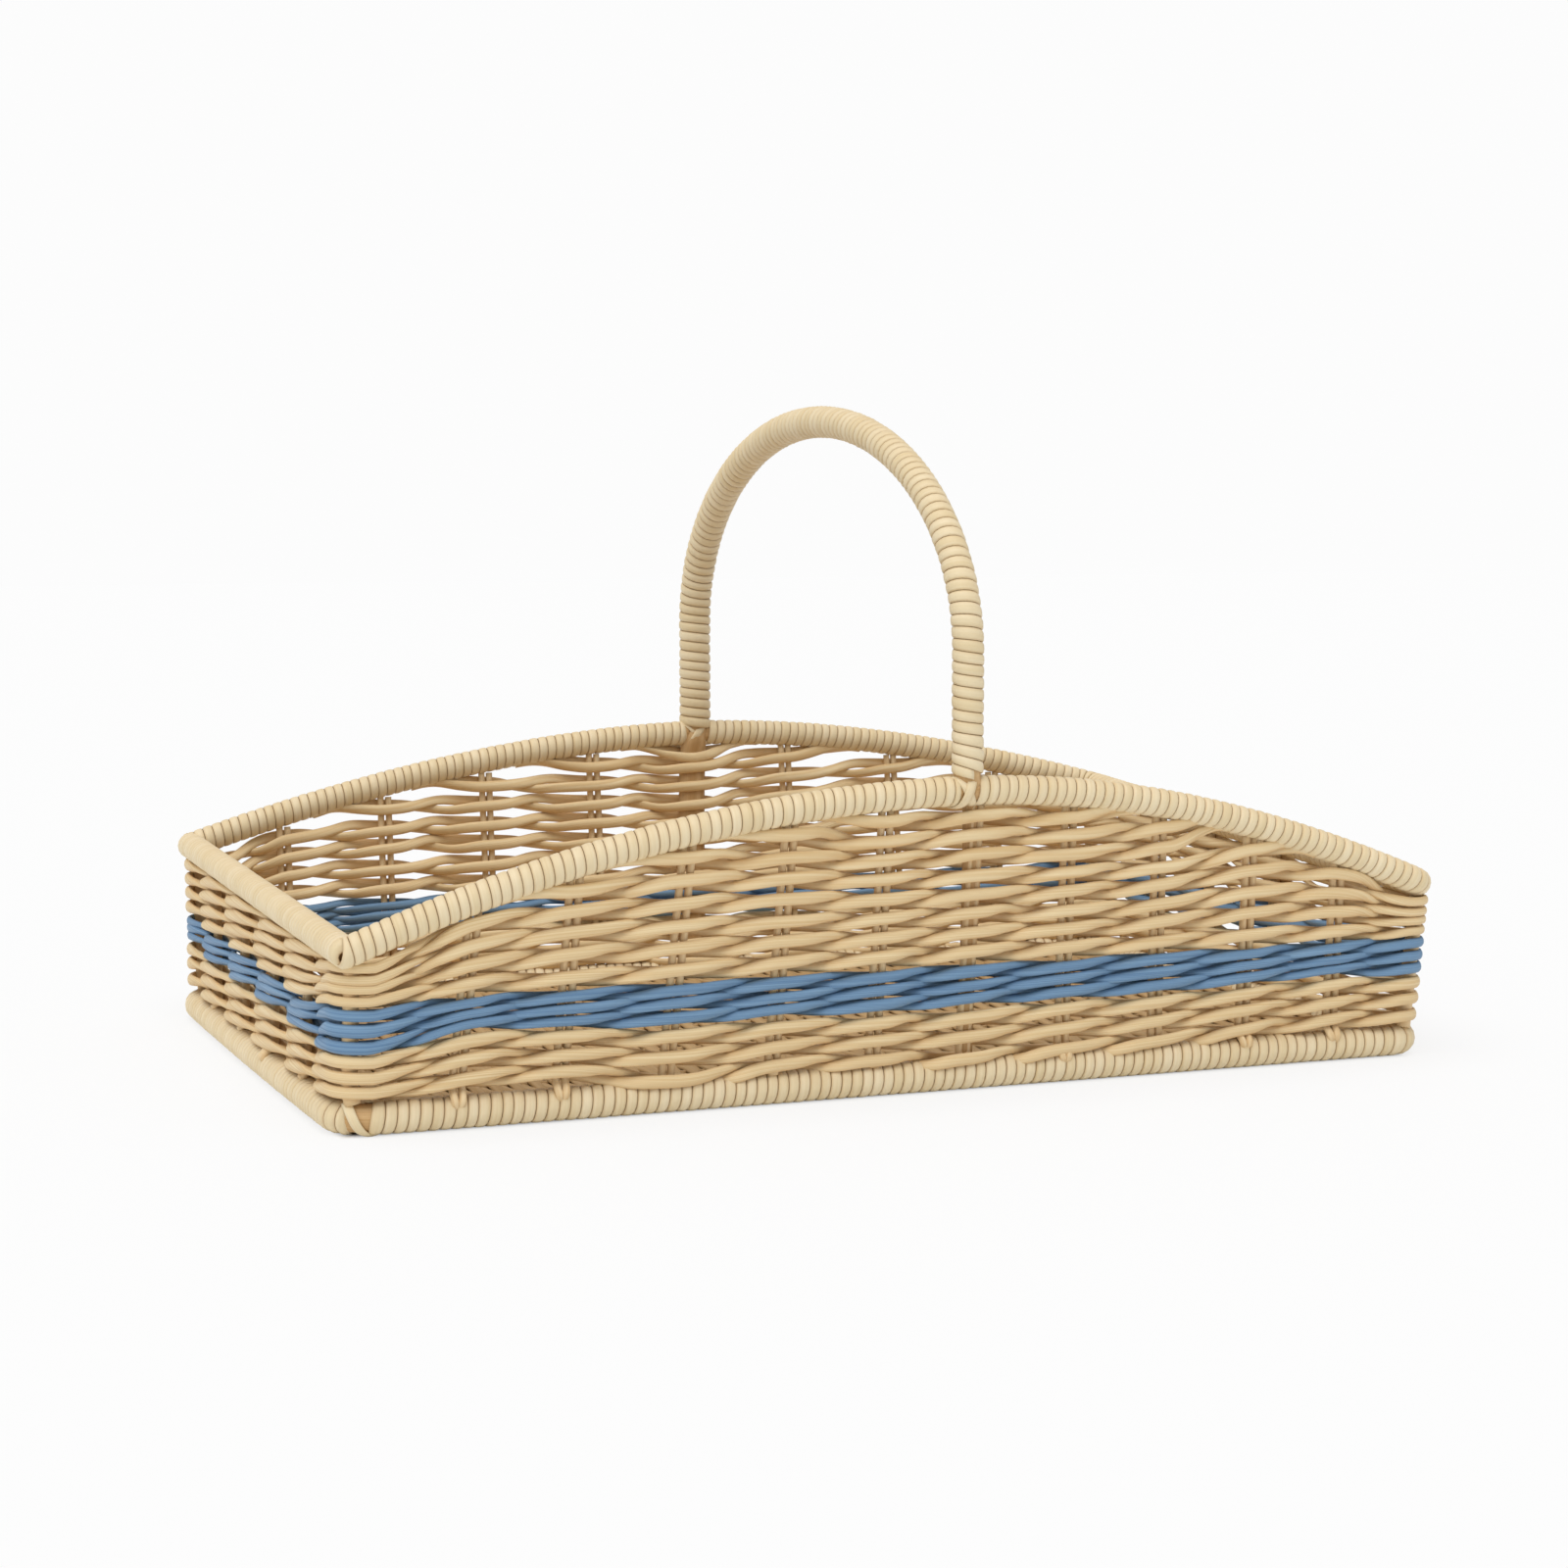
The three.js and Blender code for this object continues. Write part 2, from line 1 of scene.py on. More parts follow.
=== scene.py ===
"""Hand basket of rattan cane, dressed over its CAD frame. Metres, +Z up, and -Y is the front."""
import json
import math
import random

import bmesh
import bpy
import numpy as np
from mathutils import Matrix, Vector, noise

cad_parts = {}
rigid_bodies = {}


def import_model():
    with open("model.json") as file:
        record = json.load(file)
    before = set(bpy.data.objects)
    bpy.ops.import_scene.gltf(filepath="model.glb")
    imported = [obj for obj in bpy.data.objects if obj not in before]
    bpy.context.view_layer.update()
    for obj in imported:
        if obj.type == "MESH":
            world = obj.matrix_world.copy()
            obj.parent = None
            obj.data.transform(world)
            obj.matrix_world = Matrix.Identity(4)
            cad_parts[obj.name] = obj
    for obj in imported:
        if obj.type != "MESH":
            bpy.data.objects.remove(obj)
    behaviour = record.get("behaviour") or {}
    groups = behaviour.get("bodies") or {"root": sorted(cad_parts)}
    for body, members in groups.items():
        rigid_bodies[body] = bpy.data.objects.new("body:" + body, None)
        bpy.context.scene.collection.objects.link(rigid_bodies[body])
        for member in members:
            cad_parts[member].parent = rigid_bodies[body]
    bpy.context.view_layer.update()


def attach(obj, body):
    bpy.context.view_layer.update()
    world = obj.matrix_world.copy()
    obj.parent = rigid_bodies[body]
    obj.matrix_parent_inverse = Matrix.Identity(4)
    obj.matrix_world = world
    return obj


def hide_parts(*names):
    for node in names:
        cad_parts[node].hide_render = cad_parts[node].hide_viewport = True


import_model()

scene = bpy.context.scene
mm = 0.001


# Camera. The photo was taken from the front and a little to the left, just above the rim, with a long
# lens held level.
camera_data = bpy.data.cameras.new("camera")
camera_data.sensor_width = 36
camera_data.lens = 69.5
camera = bpy.data.objects.new("camera", camera_data)
camera.location = (-0.4217, -1.0771, 0.2077)
looks_at = Vector((0.0028, 0, 0.0973))
camera.rotation_euler = (looks_at - camera.location).to_track_quat("-Z", "Y").to_euler()
scene.collection.objects.link(camera)
scene.camera = camera


# Base frame. A round pole bent to a rectangle, wrapped in flat cane from the front left corner all the way
# round to that corner again, where a slanting strip holds the ends. Flat cane is the skin of the rattan
# stem, split into strips, so it is paler and glossier than the pole.
base_length = 400 * mm
base_width = 250 * mm
base_corner_radii = (12 * mm, 8 * mm, 8 * mm, 9 * mm)
base_pole_radius = 4.8 * mm
base_height = 5.9 * mm
base_pitch = 3.9 * mm
binding_thickness = 0.85 * mm
wrap_clearance = 0.1 * mm
steps_per_turn = 16
# The points across a turn's domed top, in widths of it, and how high its edges are
dome_places = (-0.492, -0.455, -0.3, 0, 0.3, 0.455, 0.492)
lowest_edge = 0.2
# How far turns stray along the pole, in pitches, and in height, as a share of the radius
turn_shift = 0.09
turn_lift = 0.018
# How much of a pole's section is gone at a rounded end
end_closing = 0.99
base_gap_start = -195.2 * mm
base_gap_end = -193 * mm
# How much longer the basket is at its right end, and how far its base bows out at the left
right_stretch = 3.8 * mm
left_stretch = 1.9 * mm
bend_start = 110 * mm
bend_length = 90 * mm
bow_height = 60 * mm

pole_dark = (190, 150, 98)
pole_light = (214, 180, 132)
pole_shade = (120, 74, 30)
binding_dark = (224, 204, 162)
binding_light = (238, 223, 190)
binding_shade = (176, 128, 68)


def linear(colour):
    """An sRGB colour of 0 to 255 as the renderer wants it."""
    shares = [value / 255 for value in colour]
    return [(s / 12.92 if s < 0.04045 else ((s + 0.055) / 1.055) ** 2.4) for s in shares] + [1]


def math_node(tree, operation, *values):
    """A Math node's result. Each value is a number or the output of another node."""
    node = tree.nodes.new("ShaderNodeMath")
    node.operation = operation
    for socket, value in zip(node.inputs, values):
        if isinstance(value, (int, float)):
            socket.default_value = value
        else:
            tree.links.new(value, socket)
    return node.outputs[0]


def map_range(tree, value, from_min, from_max, to_min=0, to_max=1):
    node = tree.nodes.new("ShaderNodeMapRange")
    tree.links.new(value, node.inputs["Value"])
    limits = {"From Min": from_min, "From Max": from_max, "To Min": to_min, "To Max": to_max}
    for socket, limit in limits.items():
        node.inputs[socket].default_value = limit
    return node.outputs[0]


def cane_material(name, dark, light, shade, roughness, streaks=7, tone_length=0.03):
    """Cane with long streaks along it. UV x goes round or across the strand, and y along it in metres.

    The attribute "shade" is 1 where cane is hidden from the light, and mixes its colour towards the shade
    colour there: painted shade."""
    material = bpy.data.materials.new(name)
    material.use_nodes = True
    tree = material.node_tree
    nodes = tree.nodes
    link = tree.links.new
    shader = nodes["Principled BSDF"]
    shader.inputs["Specular IOR Level"].default_value = 0.22

    uv = nodes.new("ShaderNodeUVMap")
    uv.uv_map = "strand"
    piece = nodes.new("ShaderNodeAttribute")
    piece.attribute_name = "strand_number"
    hidden = nodes.new("ShaderNodeAttribute")
    hidden.attribute_name = "shade"
    parts = nodes.new("ShaderNodeSeparateXYZ")
    link(uv.outputs["UV"], parts.inputs[0])

    def stretched_noise(across, along, detail):
        vector = nodes.new("ShaderNodeCombineXYZ")
        link(math_node(tree, "MULTIPLY", parts.outputs["X"], across), vector.inputs[0])
        link(math_node(tree, "MULTIPLY", parts.outputs["Y"], along), vector.inputs[1])
        link(piece.outputs["Fac"], vector.inputs[2])
        texture = nodes.new("ShaderNodeTexNoise")
        texture.inputs["Scale"].default_value = 1
        texture.inputs["Detail"].default_value = detail
        link(vector.outputs[0], texture.inputs["Vector"])
        return texture.outputs["Fac"]

    def mixed(first, second, factor):
        mix = nodes.new("ShaderNodeMix")
        mix.data_type = "RGBA"
        for socket, value in (("A", first), ("B", second)):
            if isinstance(value, tuple):
                mix.inputs[socket].default_value = linear(value)
            else:
                link(value, mix.inputs[socket])
        link(factor, mix.inputs["Factor"])
        return mix.outputs["Result"]

    # Half of the lightness follows slow changes of tone along the cane, and half its fine streaks
    tone = map_range(tree, stretched_noise(0.4, 1 / tone_length, 1), 0.35, 0.65)
    streak = map_range(tree, stretched_noise(streaks, 22, 3), 0.3, 0.7)
    lightness = math_node(tree, "MULTIPLY_ADD", tone, 0.5, math_node(tree, "MULTIPLY", streak, 0.5))
    clean = mixed(dark, light, lightness)
    # Painted shade: the colour goes towards the shade colour as far as the attribute "shade" says
    link(mixed(clean, shade, hidden.outputs["Fac"]), shader.inputs["Base Color"])

    rough = map_range(tree, streak, 0, 1, roughness + 0.08, roughness - 0.08)
    link(rough, shader.inputs["Roughness"])
    bump = nodes.new("ShaderNodeBump")
    bump.inputs["Strength"].default_value = 0.25
    bump.inputs["Distance"].default_value = 0.2 * mm
    link(stretched_noise(streaks * 4, 60, 2), bump.inputs["Height"])
    link(bump.outputs[0], shader.inputs["Normal"])
    return material


binding_cane = cane_material("binding_cane", binding_dark, binding_light, binding_shade, 0.45, streaks=5)
peeled_pole = cane_material("peeled_pole", pole_dark, pole_light, pole_shade, 0.6)


def distances_along(path):
    steps = np.linalg.norm(np.diff(path, axis=0), axis=1)
    return np.concatenate([[0], np.cumsum(steps)])


def sampled(places, along, values):
    """The rows of values, which are known at along, at other places."""
    return np.stack([np.interp(places, along, column) for column in values.T], 1)


def frames_along(path, sideways=None):
    """The side and the upper side at each point of a path."""
    forward = np.gradient(path, axis=0)
    forward /= np.linalg.norm(forward, axis=1)[:, None]
    if sideways is None:
        side = np.cross(forward, (0, 0, 1))
    else:
        side = np.tile(np.array(sideways, float), (len(path), 1))
    side /= np.linalg.norm(side, axis=1)[:, None]
    return side, np.cross(side, forward)


def points_of(mesh, what="co"):
    values = np.empty(len(mesh.vertices) * 3)
    mesh.vertices.foreach_get(what, values)
    return values.reshape(-1, 3)


def set_attribute(mesh, name, values):
    layer = mesh.attributes.new(name, "FLOAT", "POINT")
    layer.data.foreach_set("value", np.broadcast_to(values, len(mesh.vertices)).astype(float))


def mesh_of(shape, name):
    """A bmesh as a mesh."""
    mesh = bpy.data.meshes.new(name)
    shape.to_mesh(mesh)
    shape.free()
    return mesh


def evaluated_mesh(piece):
    """The mesh that a helper object's modifier or bevel makes. The object goes."""
    scene.collection.objects.link(piece)
    mesh = bpy.data.meshes.new_from_object(piece.evaluated_get(bpy.context.evaluated_depsgraph_get()))
    bpy.data.objects.remove(piece)
    return mesh


def joined(name, *meshes):
    """Several closed meshes as one."""
    whole = bmesh.new()
    for mesh in meshes:
        whole.from_mesh(mesh)
        bpy.data.meshes.remove(mesh)
    return mesh_of(whole, name)


def bent_by_hand(points):
    """The real basket is a little longer at its right end, and its base bows out at the left end."""
    right = np.clip((points[:, 0] - bend_start) / bend_length, 0, 1) ** 2 * right_stretch
    across = np.clip(2 * points[:, 1] / base_width, -1, 1)
    low = np.clip(1 - points[:, 2] / bow_height, 0, 1)
    bow = left_stretch * (1 + 0.26 * across - 0.47 * across ** 2) * low
    left = np.clip((-bend_start - points[:, 0]) / bend_length, 0, 1) ** 2 * bow
    points[:, 0] += right - left
    return points


def add_piece(name, mesh, material, slot, *nodes):
    mesh.vertices.foreach_set("co", bent_by_hand(points_of(mesh)).ravel())
    mesh.update()
    mesh.materials.clear()
    mesh.materials.append(material)
    mesh.polygons.foreach_set("use_smooth", [True] * len(mesh.polygons))
    piece = bpy.data.objects.new(name, mesh)
    scene.collection.objects.link(piece)
    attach(piece, "root")
    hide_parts(*nodes)
    return piece


def rounded_ends(place, length, start_depth, end_depth):
    """How much thinner a pole is near its ends, which are rounded over the depths given."""
    share = np.ones_like(place)
    for depth, distance in ((start_depth, place), (end_depth, length - place)):
        if depth:
            share *= np.sqrt(1 - end_closing * np.clip(1 - distance / depth, 0, 1) ** 2)
    return share


def wrapped_cane(name, path, pole_radius, pitch, number, fullness=2.7, sideways=None, ends=(0, 0),
                 girths=None, edge=lowest_edge):
    """Flat cane wound round a pole: one turn is spun, repeated, and then bent along the pole's path."""
    inside = pole_radius + wrap_clearance
    turn = bmesh.new()
    verts = []
    for x in dome_places:
        dome = (1 - abs(x / dome_places[-1]) ** fullness) ** (1 / fullness)
        verts.append(turn.verts.new((x * pitch, 0, inside + max(dome, edge) * binding_thickness)))
    edges = [turn.edges.new((verts[i], verts[(i + 1) % len(verts)])) for i in range(len(verts))]
    bmesh.ops.spin(turn, geom=verts + edges, cent=(0, 0, 0), axis=(1, 0, 0), angle=math.tau,
                   dvec=(pitch / steps_per_turn, 0, 0), steps=steps_per_turn, use_merge=False)

    along = distances_along(path)
    one_turn = bpy.data.objects.new(name, mesh_of(turn, name))
    repeat = one_turn.modifiers.new("turns", "ARRAY")
    repeat.use_relative_offset = False
    repeat.use_constant_offset = True
    repeat.constant_offset_displace = (pitch, 0, 0)
    repeat.count = int(along[-1] / pitch)
    repeat.use_merge_vertices = True
    repeat.merge_threshold = 0.01 * mm
    wound = evaluated_mesh(one_turn)

    whole = bmesh.new()
    whole.from_mesh(wound)
    bmesh.ops.holes_fill(whole, edges=[edge for edge in whole.edges if edge.is_boundary])
    bmesh.ops.recalc_face_normals(whole, faces=whole.faces)
    whole.to_mesh(wound)
    whole.free()

    # Where each corner of a face is on the cane: how many turns along, and how far across
    points = points_of(wound)
    angle = np.arctan2(-points[:, 1], points[:, 2]) % math.tau
    loops = np.empty(len(wound.loops), int)
    wound.loops.foreach_get("vertex_index", loops)
    faces = np.empty(len(wound.loops), int)
    for polygon in wound.polygons:
        faces[polygon.loop_start:polygon.loop_start + polygon.loop_total] = polygon.index
    middles = np.empty(len(wound.polygons) * 3)
    wound.polygons.foreach_get("center", middles)
    middles = middles.reshape(-1, 3)
    middle_angle = np.arctan2(-middles[:, 1], middles[:, 2]) % math.tau
    near = angle[loops] + np.round((middle_angle[faces] - angle[loops]) / math.tau) * math.tau
    whole_turns = np.round(middles[:, 0] / pitch - middle_angle / math.tau)
    turns = whole_turns[faces] + near / math.tau
    across = points[loops, 0] / pitch - turns + 0.5
    uv = wound.uv_layers.new(name="strand")
    uv.data.foreach_set("uv", np.stack([across, turns * math.tau * inside], 1).ravel())
    set_attribute(wound, "strand_number", number)

    # The edges of each turn, where it dips to the next one, and the underside of the pole get painted shade
    height = np.hypot(points[:, 1], points[:, 2]) - inside
    dip = np.clip(1 - height / (0.8 * binding_thickness), 0, 1)

    # Hand-wound cane: each turn lies a little high or low and a little forward or back
    turn_of_point = points[:, 0] / pitch
    lift = np.array([noise.noise((t * 0.83, number, 0)) for t in turn_of_point])
    shift = np.array([noise.noise((t * 0.71, number, 9)) for t in turn_of_point])
    points[:, 0] += turn_shift * pitch * shift
    first = points[:, 0].min()
    length = points[:, 0].max() - first
    place = points[:, 0] - first + (along[-1] - length) / 2
    points[:, 1:] *= (rounded_ends(place, along[-1], *ends) * (1 + turn_lift * lift))[:, None]
    if girths is not None:
        points[:, 1:] *= np.interp(place, along, girths)[:, None]
    bent = np.zeros_like(points)
    for axis, values in zip((None, 1, 2), (path, *frames_along(path, sideways))):
        at = sampled(place, along, values)
        bent += at if axis is None else at * points[:, axis][:, None]
    wound.vertices.foreach_set("co", bent.ravel())
    wound.update()
    below = np.clip(-points_of(wound, "normal")[:, 2], 0, 1)
    set_attribute(wound, "shade", np.clip(0.6 * dip + 0.2 * below, 0, 1))
    return wound


def rounded_rectangle(length, width, radii, step=1 * mm):
    """Points round a rectangle with round corners, anticlockwise from the middle of its left end.

    The radii are those of the corners in that order, from the front left one."""
    corners = ((-1, -1, math.pi), (1, -1, 1.5 * math.pi), (1, 1, 0), (-1, 1, 0.5 * math.pi))
    points = [(-length / 2, 0)]
    arc_steps = 12
    for (x_sign, y_sign, start), radius in zip(corners, radii):
        centre = (x_sign * (length / 2 - radius), y_sign * (width / 2 - radius))
        for i in range(arc_steps + 1):
            angle = start + math.pi / 2 * i / arc_steps
            points.append((centre[0] + radius * math.cos(angle), centre[1] + radius * math.sin(angle)))
    points.append((-length / 2, 0))
    points = np.array(points)
    along = distances_along(points)
    places = np.linspace(0, along[-1], int(along[-1] / step))
    return sampled(places, along, points)


def cane_section(name, width, height, count=12):
    """The outline of a strand, as the bevel of the curves that follow its path."""
    outline = bpy.data.curves.new(name, "CURVE")
    ring = outline.splines.new("POLY")
    ring.points.add(count - 1)
    for i, point in enumerate(ring.points):
        angle = -math.tau * i / count
        point.co = (width / 2 * math.cos(angle), height / 2 * math.sin(angle), 0, 1)
    ring.use_cyclic_u = True
    piece = bpy.data.objects.new(name, outline)
    scene.collection.objects.link(piece)
    return piece


def add_strand(target, points, section, number, tilts=None, radii=None, twist="MINIMUM", closed=False):
    """Adds one strand of cane to a bmesh, with its place on the strand as its UV."""
    curve = bpy.data.curves.new("strand", "CURVE")
    curve.dimensions = "3D"
    curve.twist_mode = twist
    curve.bevel_mode = "OBJECT"
    curve.bevel_object = section
    curve.use_fill_caps = True
    line = curve.splines.new("POLY")
    line.points.add(len(points) - 1)
    line.points.foreach_set("co", np.column_stack([points, np.ones(len(points))]).ravel())
    line.use_cyclic_u = closed
    if tilts is not None:
        line.points.foreach_set("tilt", tilts)
    if radii is not None:
        line.points.foreach_set("radius", radii)
    mesh = evaluated_mesh(bpy.data.objects.new("strand", curve))
    uv = mesh.uv_layers[0]
    uv.name = "strand"
    values = np.empty(len(mesh.loops) * 2)
    uv.data.foreach_get("uv", values)
    values = values.reshape(-1, 2)
    values[:, 1] *= distances_along(points)[-1]
    uv.data.foreach_set("uv", values.ravel())
    set_attribute(mesh, "strand_number", number)
    target.from_mesh(mesh)
    bpy.data.meshes.remove(mesh)


def close_strands(target, name, shade=None):
    """The strands in a bmesh as one mesh, with their ends closed."""
    bmesh.ops.remove_doubles(target, verts=target.verts, dist=0.001 * mm)
    bmesh.ops.recalc_face_normals(target, faces=target.faces)
    mesh = mesh_of(target, name)
    if shade is not None:
        set_attribute(mesh, "shade", shade)
    return mesh


def flat_strip(name, points, normals, width, number, shade=0.0):
    """A short strip of flat cane along points, lying square to the normals and domed across."""
    sheet = bmesh.new()
    bmesh.ops.create_grid(sheet, x_segments=len(points) - 1, y_segments=4, size=0.5)
    bmesh.ops.solidify(sheet, geom=sheet.faces[:], thickness=1)
    bmesh.ops.recalc_face_normals(sheet, faces=sheet.faces)
    mesh = mesh_of(sheet, name)
    flat = points_of(mesh)
    along = distances_along(points)
    loops = np.empty(len(mesh.loops), int)
    mesh.loops.foreach_get("vertex_index", loops)
    uv = mesh.uv_layers.new(name="strand")
    places = np.stack([flat[loops, 1] + 0.5, (flat[loops, 0] + 0.5) * along[-1]], 1)
    uv.data.foreach_set("uv", places.ravel())
    place = (flat[:, 0] + 0.5) * (len(points) - 1)
    forward = np.gradient(points, axis=0)
    sides = np.cross(forward, normals)
    sides /= np.linalg.norm(sides, axis=1)[:, None]
    height = (flat[:, 2] - flat[:, 2].min()) * binding_thickness * (1 - 0.5 * (2 * flat[:, 1]) ** 2)
    steps = np.arange(len(points))
    bent = np.zeros_like(flat)
    for values, amount in ((points, 1), (sides, flat[:, 1] * width), (normals, height)):
        bent += sampled(place, steps, values) * np.broadcast_to(amount, len(flat))[:, None]
    mesh.vertices.foreach_set("co", bent.ravel())
    whole = bmesh.new()
    whole.from_mesh(mesh)
    bmesh.ops.recalc_face_normals(whole, faces=whole.faces)
    whole.to_mesh(mesh)
    whole.free()
    set_attribute(mesh, "strand_number", number)
    # shade is how much painted shade the strip gets
    set_attribute(mesh, "shade", shade)
    return mesh


def strip_round_pole(name, centre, out, radius, turn, shift, width, number, shade=0.0):
    """Flat cane across a level pole: turn is how far round it goes from and to, measured down from level
    on the outside, and shift is how far along the pole it starts and ends."""
    out = np.array(out, float)
    up = np.array((0, 0, 1.0))
    along = np.cross(up, out)
    shares = np.linspace(0, 1, 24)
    angles = np.radians(turn[0] + (turn[1] - turn[0]) * shares)
    normals = np.cos(angles)[:, None] * out - np.sin(angles)[:, None] * up
    reach = shift[0] + (shift[1] - shift[0]) * shares
    points = np.array(centre) + normals * radius + reach[:, None] * along
    return flat_strip(name, points, normals, width, number, shade)


flat_path = rounded_rectangle(base_length, base_width, base_corner_radii)
round_base = np.column_stack([flat_path, np.full(len(flat_path), base_height)])
rod_section = cane_section("rod_section", 2 * base_pole_radius, 2 * base_pole_radius, 16)
base_rod = bmesh.new()
add_strand(base_rod, round_base[:-1], rod_section, 2.5, twist="Z_UP", closed=True)
add_piece("base_rod", close_strands(base_rod, "base_rod"), peeled_pole, "pole", "base_pole")

front_start = int(np.argmin(np.hypot(flat_path[:, 0] - base_gap_end, flat_path[:, 1] + base_width / 2)))
base_path = np.roll(round_base[:-1], -front_start, axis=0)
in_gap = (base_path[:, 0] > base_gap_start) & (base_path[:, 0] < base_gap_end) & (base_path[:, 1] < -0.1)
base_path = base_path[:int(np.argmax(in_gap))]
strip_middle = (-193.9 * mm, -123.6 * mm, base_height)
strip_out = (-0.45, -0.893, 0)
strip_shift = (-4.2 * mm, 4.2 * mm)
corner_strip = strip_round_pole("corner_strip", strip_middle, strip_out, base_pole_radius + 0.35 * mm,
                                (-75, 105), strip_shift, 3.3 * mm, 2.2)
base_turns = wrapped_cane("base_turns", base_path, base_pole_radius, base_pitch, 1.5, fullness=2.3,
                          ends=(0, 2 * mm), edge=0.08)
add_piece("base_wrapping", joined("base_wrapping", base_turns, corner_strip), binding_cane, "binding",
          "base_binding")


# Bottom. The photo doesn't show it, so it is the plain woven bottom that such baskets have: thin rods
# along the basket, fixed in the base frame, with a single flat weaver over and under them.
bottom_rods = 11
bottom_rod_radius = 0.8 * mm
bottom_weaver_width = 4.3 * mm
bottom_weaver_thickness = 1.9 * mm
bottom_wave = 0.75 * mm
bottom_weaver_pitch = 3.62 * mm
bottom_height = 5.7 * mm
# How much painted shade the bottom's rods and weavers get all over
inside_shade = 0.45
stake_dark = (220, 188, 138)
stake_light = (240, 218, 176)
stake_shade = (160, 104, 48)
natural_dark = (215, 183, 132)
natural_light = (237, 217, 175)
natural_shade = (196, 138, 70)
# The bottom's cane is the natural cane painted darker and browner: painted shade, as the bottom lies deep
# inside the basket
shaded_bottom_dark = (192, 158, 110)
shaded_bottom_light = (212, 182, 136)
bottom_shade = (132, 98, 58)
core_cane = cane_material("core_cane", stake_dark, stake_light, stake_shade, 0.5, streaks=6,
                          tone_length=0.02)
natural_cane = cane_material("natural_cane", natural_dark, natural_light, natural_shade, 0.5)
shaded_bottom_cane = cane_material("shaded_bottom_cane", shaded_bottom_dark, shaded_bottom_light, bottom_shade, 0.6)

inner_length = base_length - 2 * base_pole_radius
inner_width = base_width - 2 * base_pole_radius
rod_places = [inner_width * ((i + 0.5) / bottom_rods - 0.5) for i in range(bottom_rods)]
thin_section = cane_section("thin_section", 2 * bottom_rod_radius, 2 * bottom_rod_radius, 8)
rods = bmesh.new()
for i, y in enumerate(rod_places):
    path = [(x, y, bottom_height) for x in (-inner_length / 2, 0, inner_length / 2)]
    add_strand(rods, np.array(path), thin_section, 300 + i)
add_piece("bottom_rods", close_strands(rods, "bottom_rods", inside_shade), shaded_bottom_cane, "natural_cane",
          "base_weave")

flat_section = cane_section("flat_section", bottom_weaver_width, bottom_weaver_thickness, 8)
weavers = bmesh.new()
weaver_count = int(inner_length / bottom_weaver_pitch) + 1
for i in range(weaver_count):
    x = (i + 0.5 - weaver_count / 2) * bottom_weaver_pitch
    path = []
    for y in np.linspace(-inner_width / 2, inner_width / 2, 6 * bottom_rods + 1):
        wave = math.cos(math.pi * ((y / inner_width + 0.5) * bottom_rods - 0.5 + i))
        path.append((x, y, bottom_height + bottom_wave * wave))
    add_strand(weavers, np.array(path), flat_section, 320 + i * 1.7, twist="Z_UP")
add_piece("bottom_weavers", close_strands(weavers, "bottom_weavers", inside_shade), shaded_bottom_cane,
          "natural_cane", "base_weave")


# Rim. Two poles, one round each end of the basket, level at the ends and arched along its sides, wrapped
# like the base in flat cane. The left one is in three lengths with butted corners, the right one is bent.
# Both stop at the handle's legs.
rim_length = 401 * mm
rim_width = 267 * mm
rim_corner_radius = 8 * mm
rim_side_bow = 4 * mm
rim_end_height = 64.7 * mm
rim_arch_rise = 42 * mm
# The hand-bent rim: its height at each corner, and how full the arch is from the handle to there
corner_heights = {(-1, -1): 61.9 * mm, (-1, 1): 67.8 * mm, (1, -1): 64.6 * mm, (1, 1): 78.8 * mm}
arch_fullness = {(-1, -1): 2, (-1, 1): 1.8, (1, -1): 1.95, (1, 1): 1.9}
rim_pole_radius = 4.3 * mm
rim_pitch = 3.7 * mm
arch_peak = 18 * mm
front_joint = (13.6 * mm, 15.9 * mm)
back_joint = (12.2 * mm, 18.4 * mm)


def distance_share(x):
    """0 at the handle and 1 at either end of the basket."""
    end = np.where(x < arch_peak, -rim_length / 2, rim_length / 2)
    return np.minimum(1, np.abs((x - arch_peak) / (end - arch_peak)))


def arch_share(x):
    return 1 - distance_share(x) ** 2


def rim_half_width(x):
    return rim_width / 2 + rim_side_bow * arch_share(x)


def rim_height(x, y):
    peak = rim_end_height + rim_arch_rise
    sides = []
    for y_sign in (-1, 1):
        falls = []
        for x_sign in (-1, 1):
            drop = peak - corner_heights[x_sign, y_sign]
            falls.append(drop * distance_share(x) ** arch_fullness[x_sign, y_sign])
        sides.append(peak - np.where(x < arch_peak, *falls))
    back_share = np.clip(y / rim_width + 0.5, 0, 1)
    return sides[0] * (1 - back_share) + sides[1] * back_share


def side_path(start, end, side):
    """Along one side of the rim from x to x. side is -1 at the front and 1 at the back."""
    x = np.linspace(start, end, int(abs(end - start) / mm))
    y = side * rim_half_width(x)
    return np.column_stack([x, y, rim_height(x, y)])


rim_end = rim_length / 2
# The wrappings of the left half's three lengths run this far past the corners, and into each other
side_overlap = 4 * mm
back_overlap = 3.5 * mm
front_overlap = 2 * mm
back_left = side_path(back_joint[0], -rim_end - side_overlap, 1)
end_y = np.linspace(rim_width / 2 + back_overlap, -rim_width / 2 - front_overlap, 270)
left_end = np.column_stack([np.full(len(end_y), -rim_end), end_y, rim_height(-rim_end, end_y)])
front_left = side_path(-rim_end - side_overlap, front_joint[0], -1)

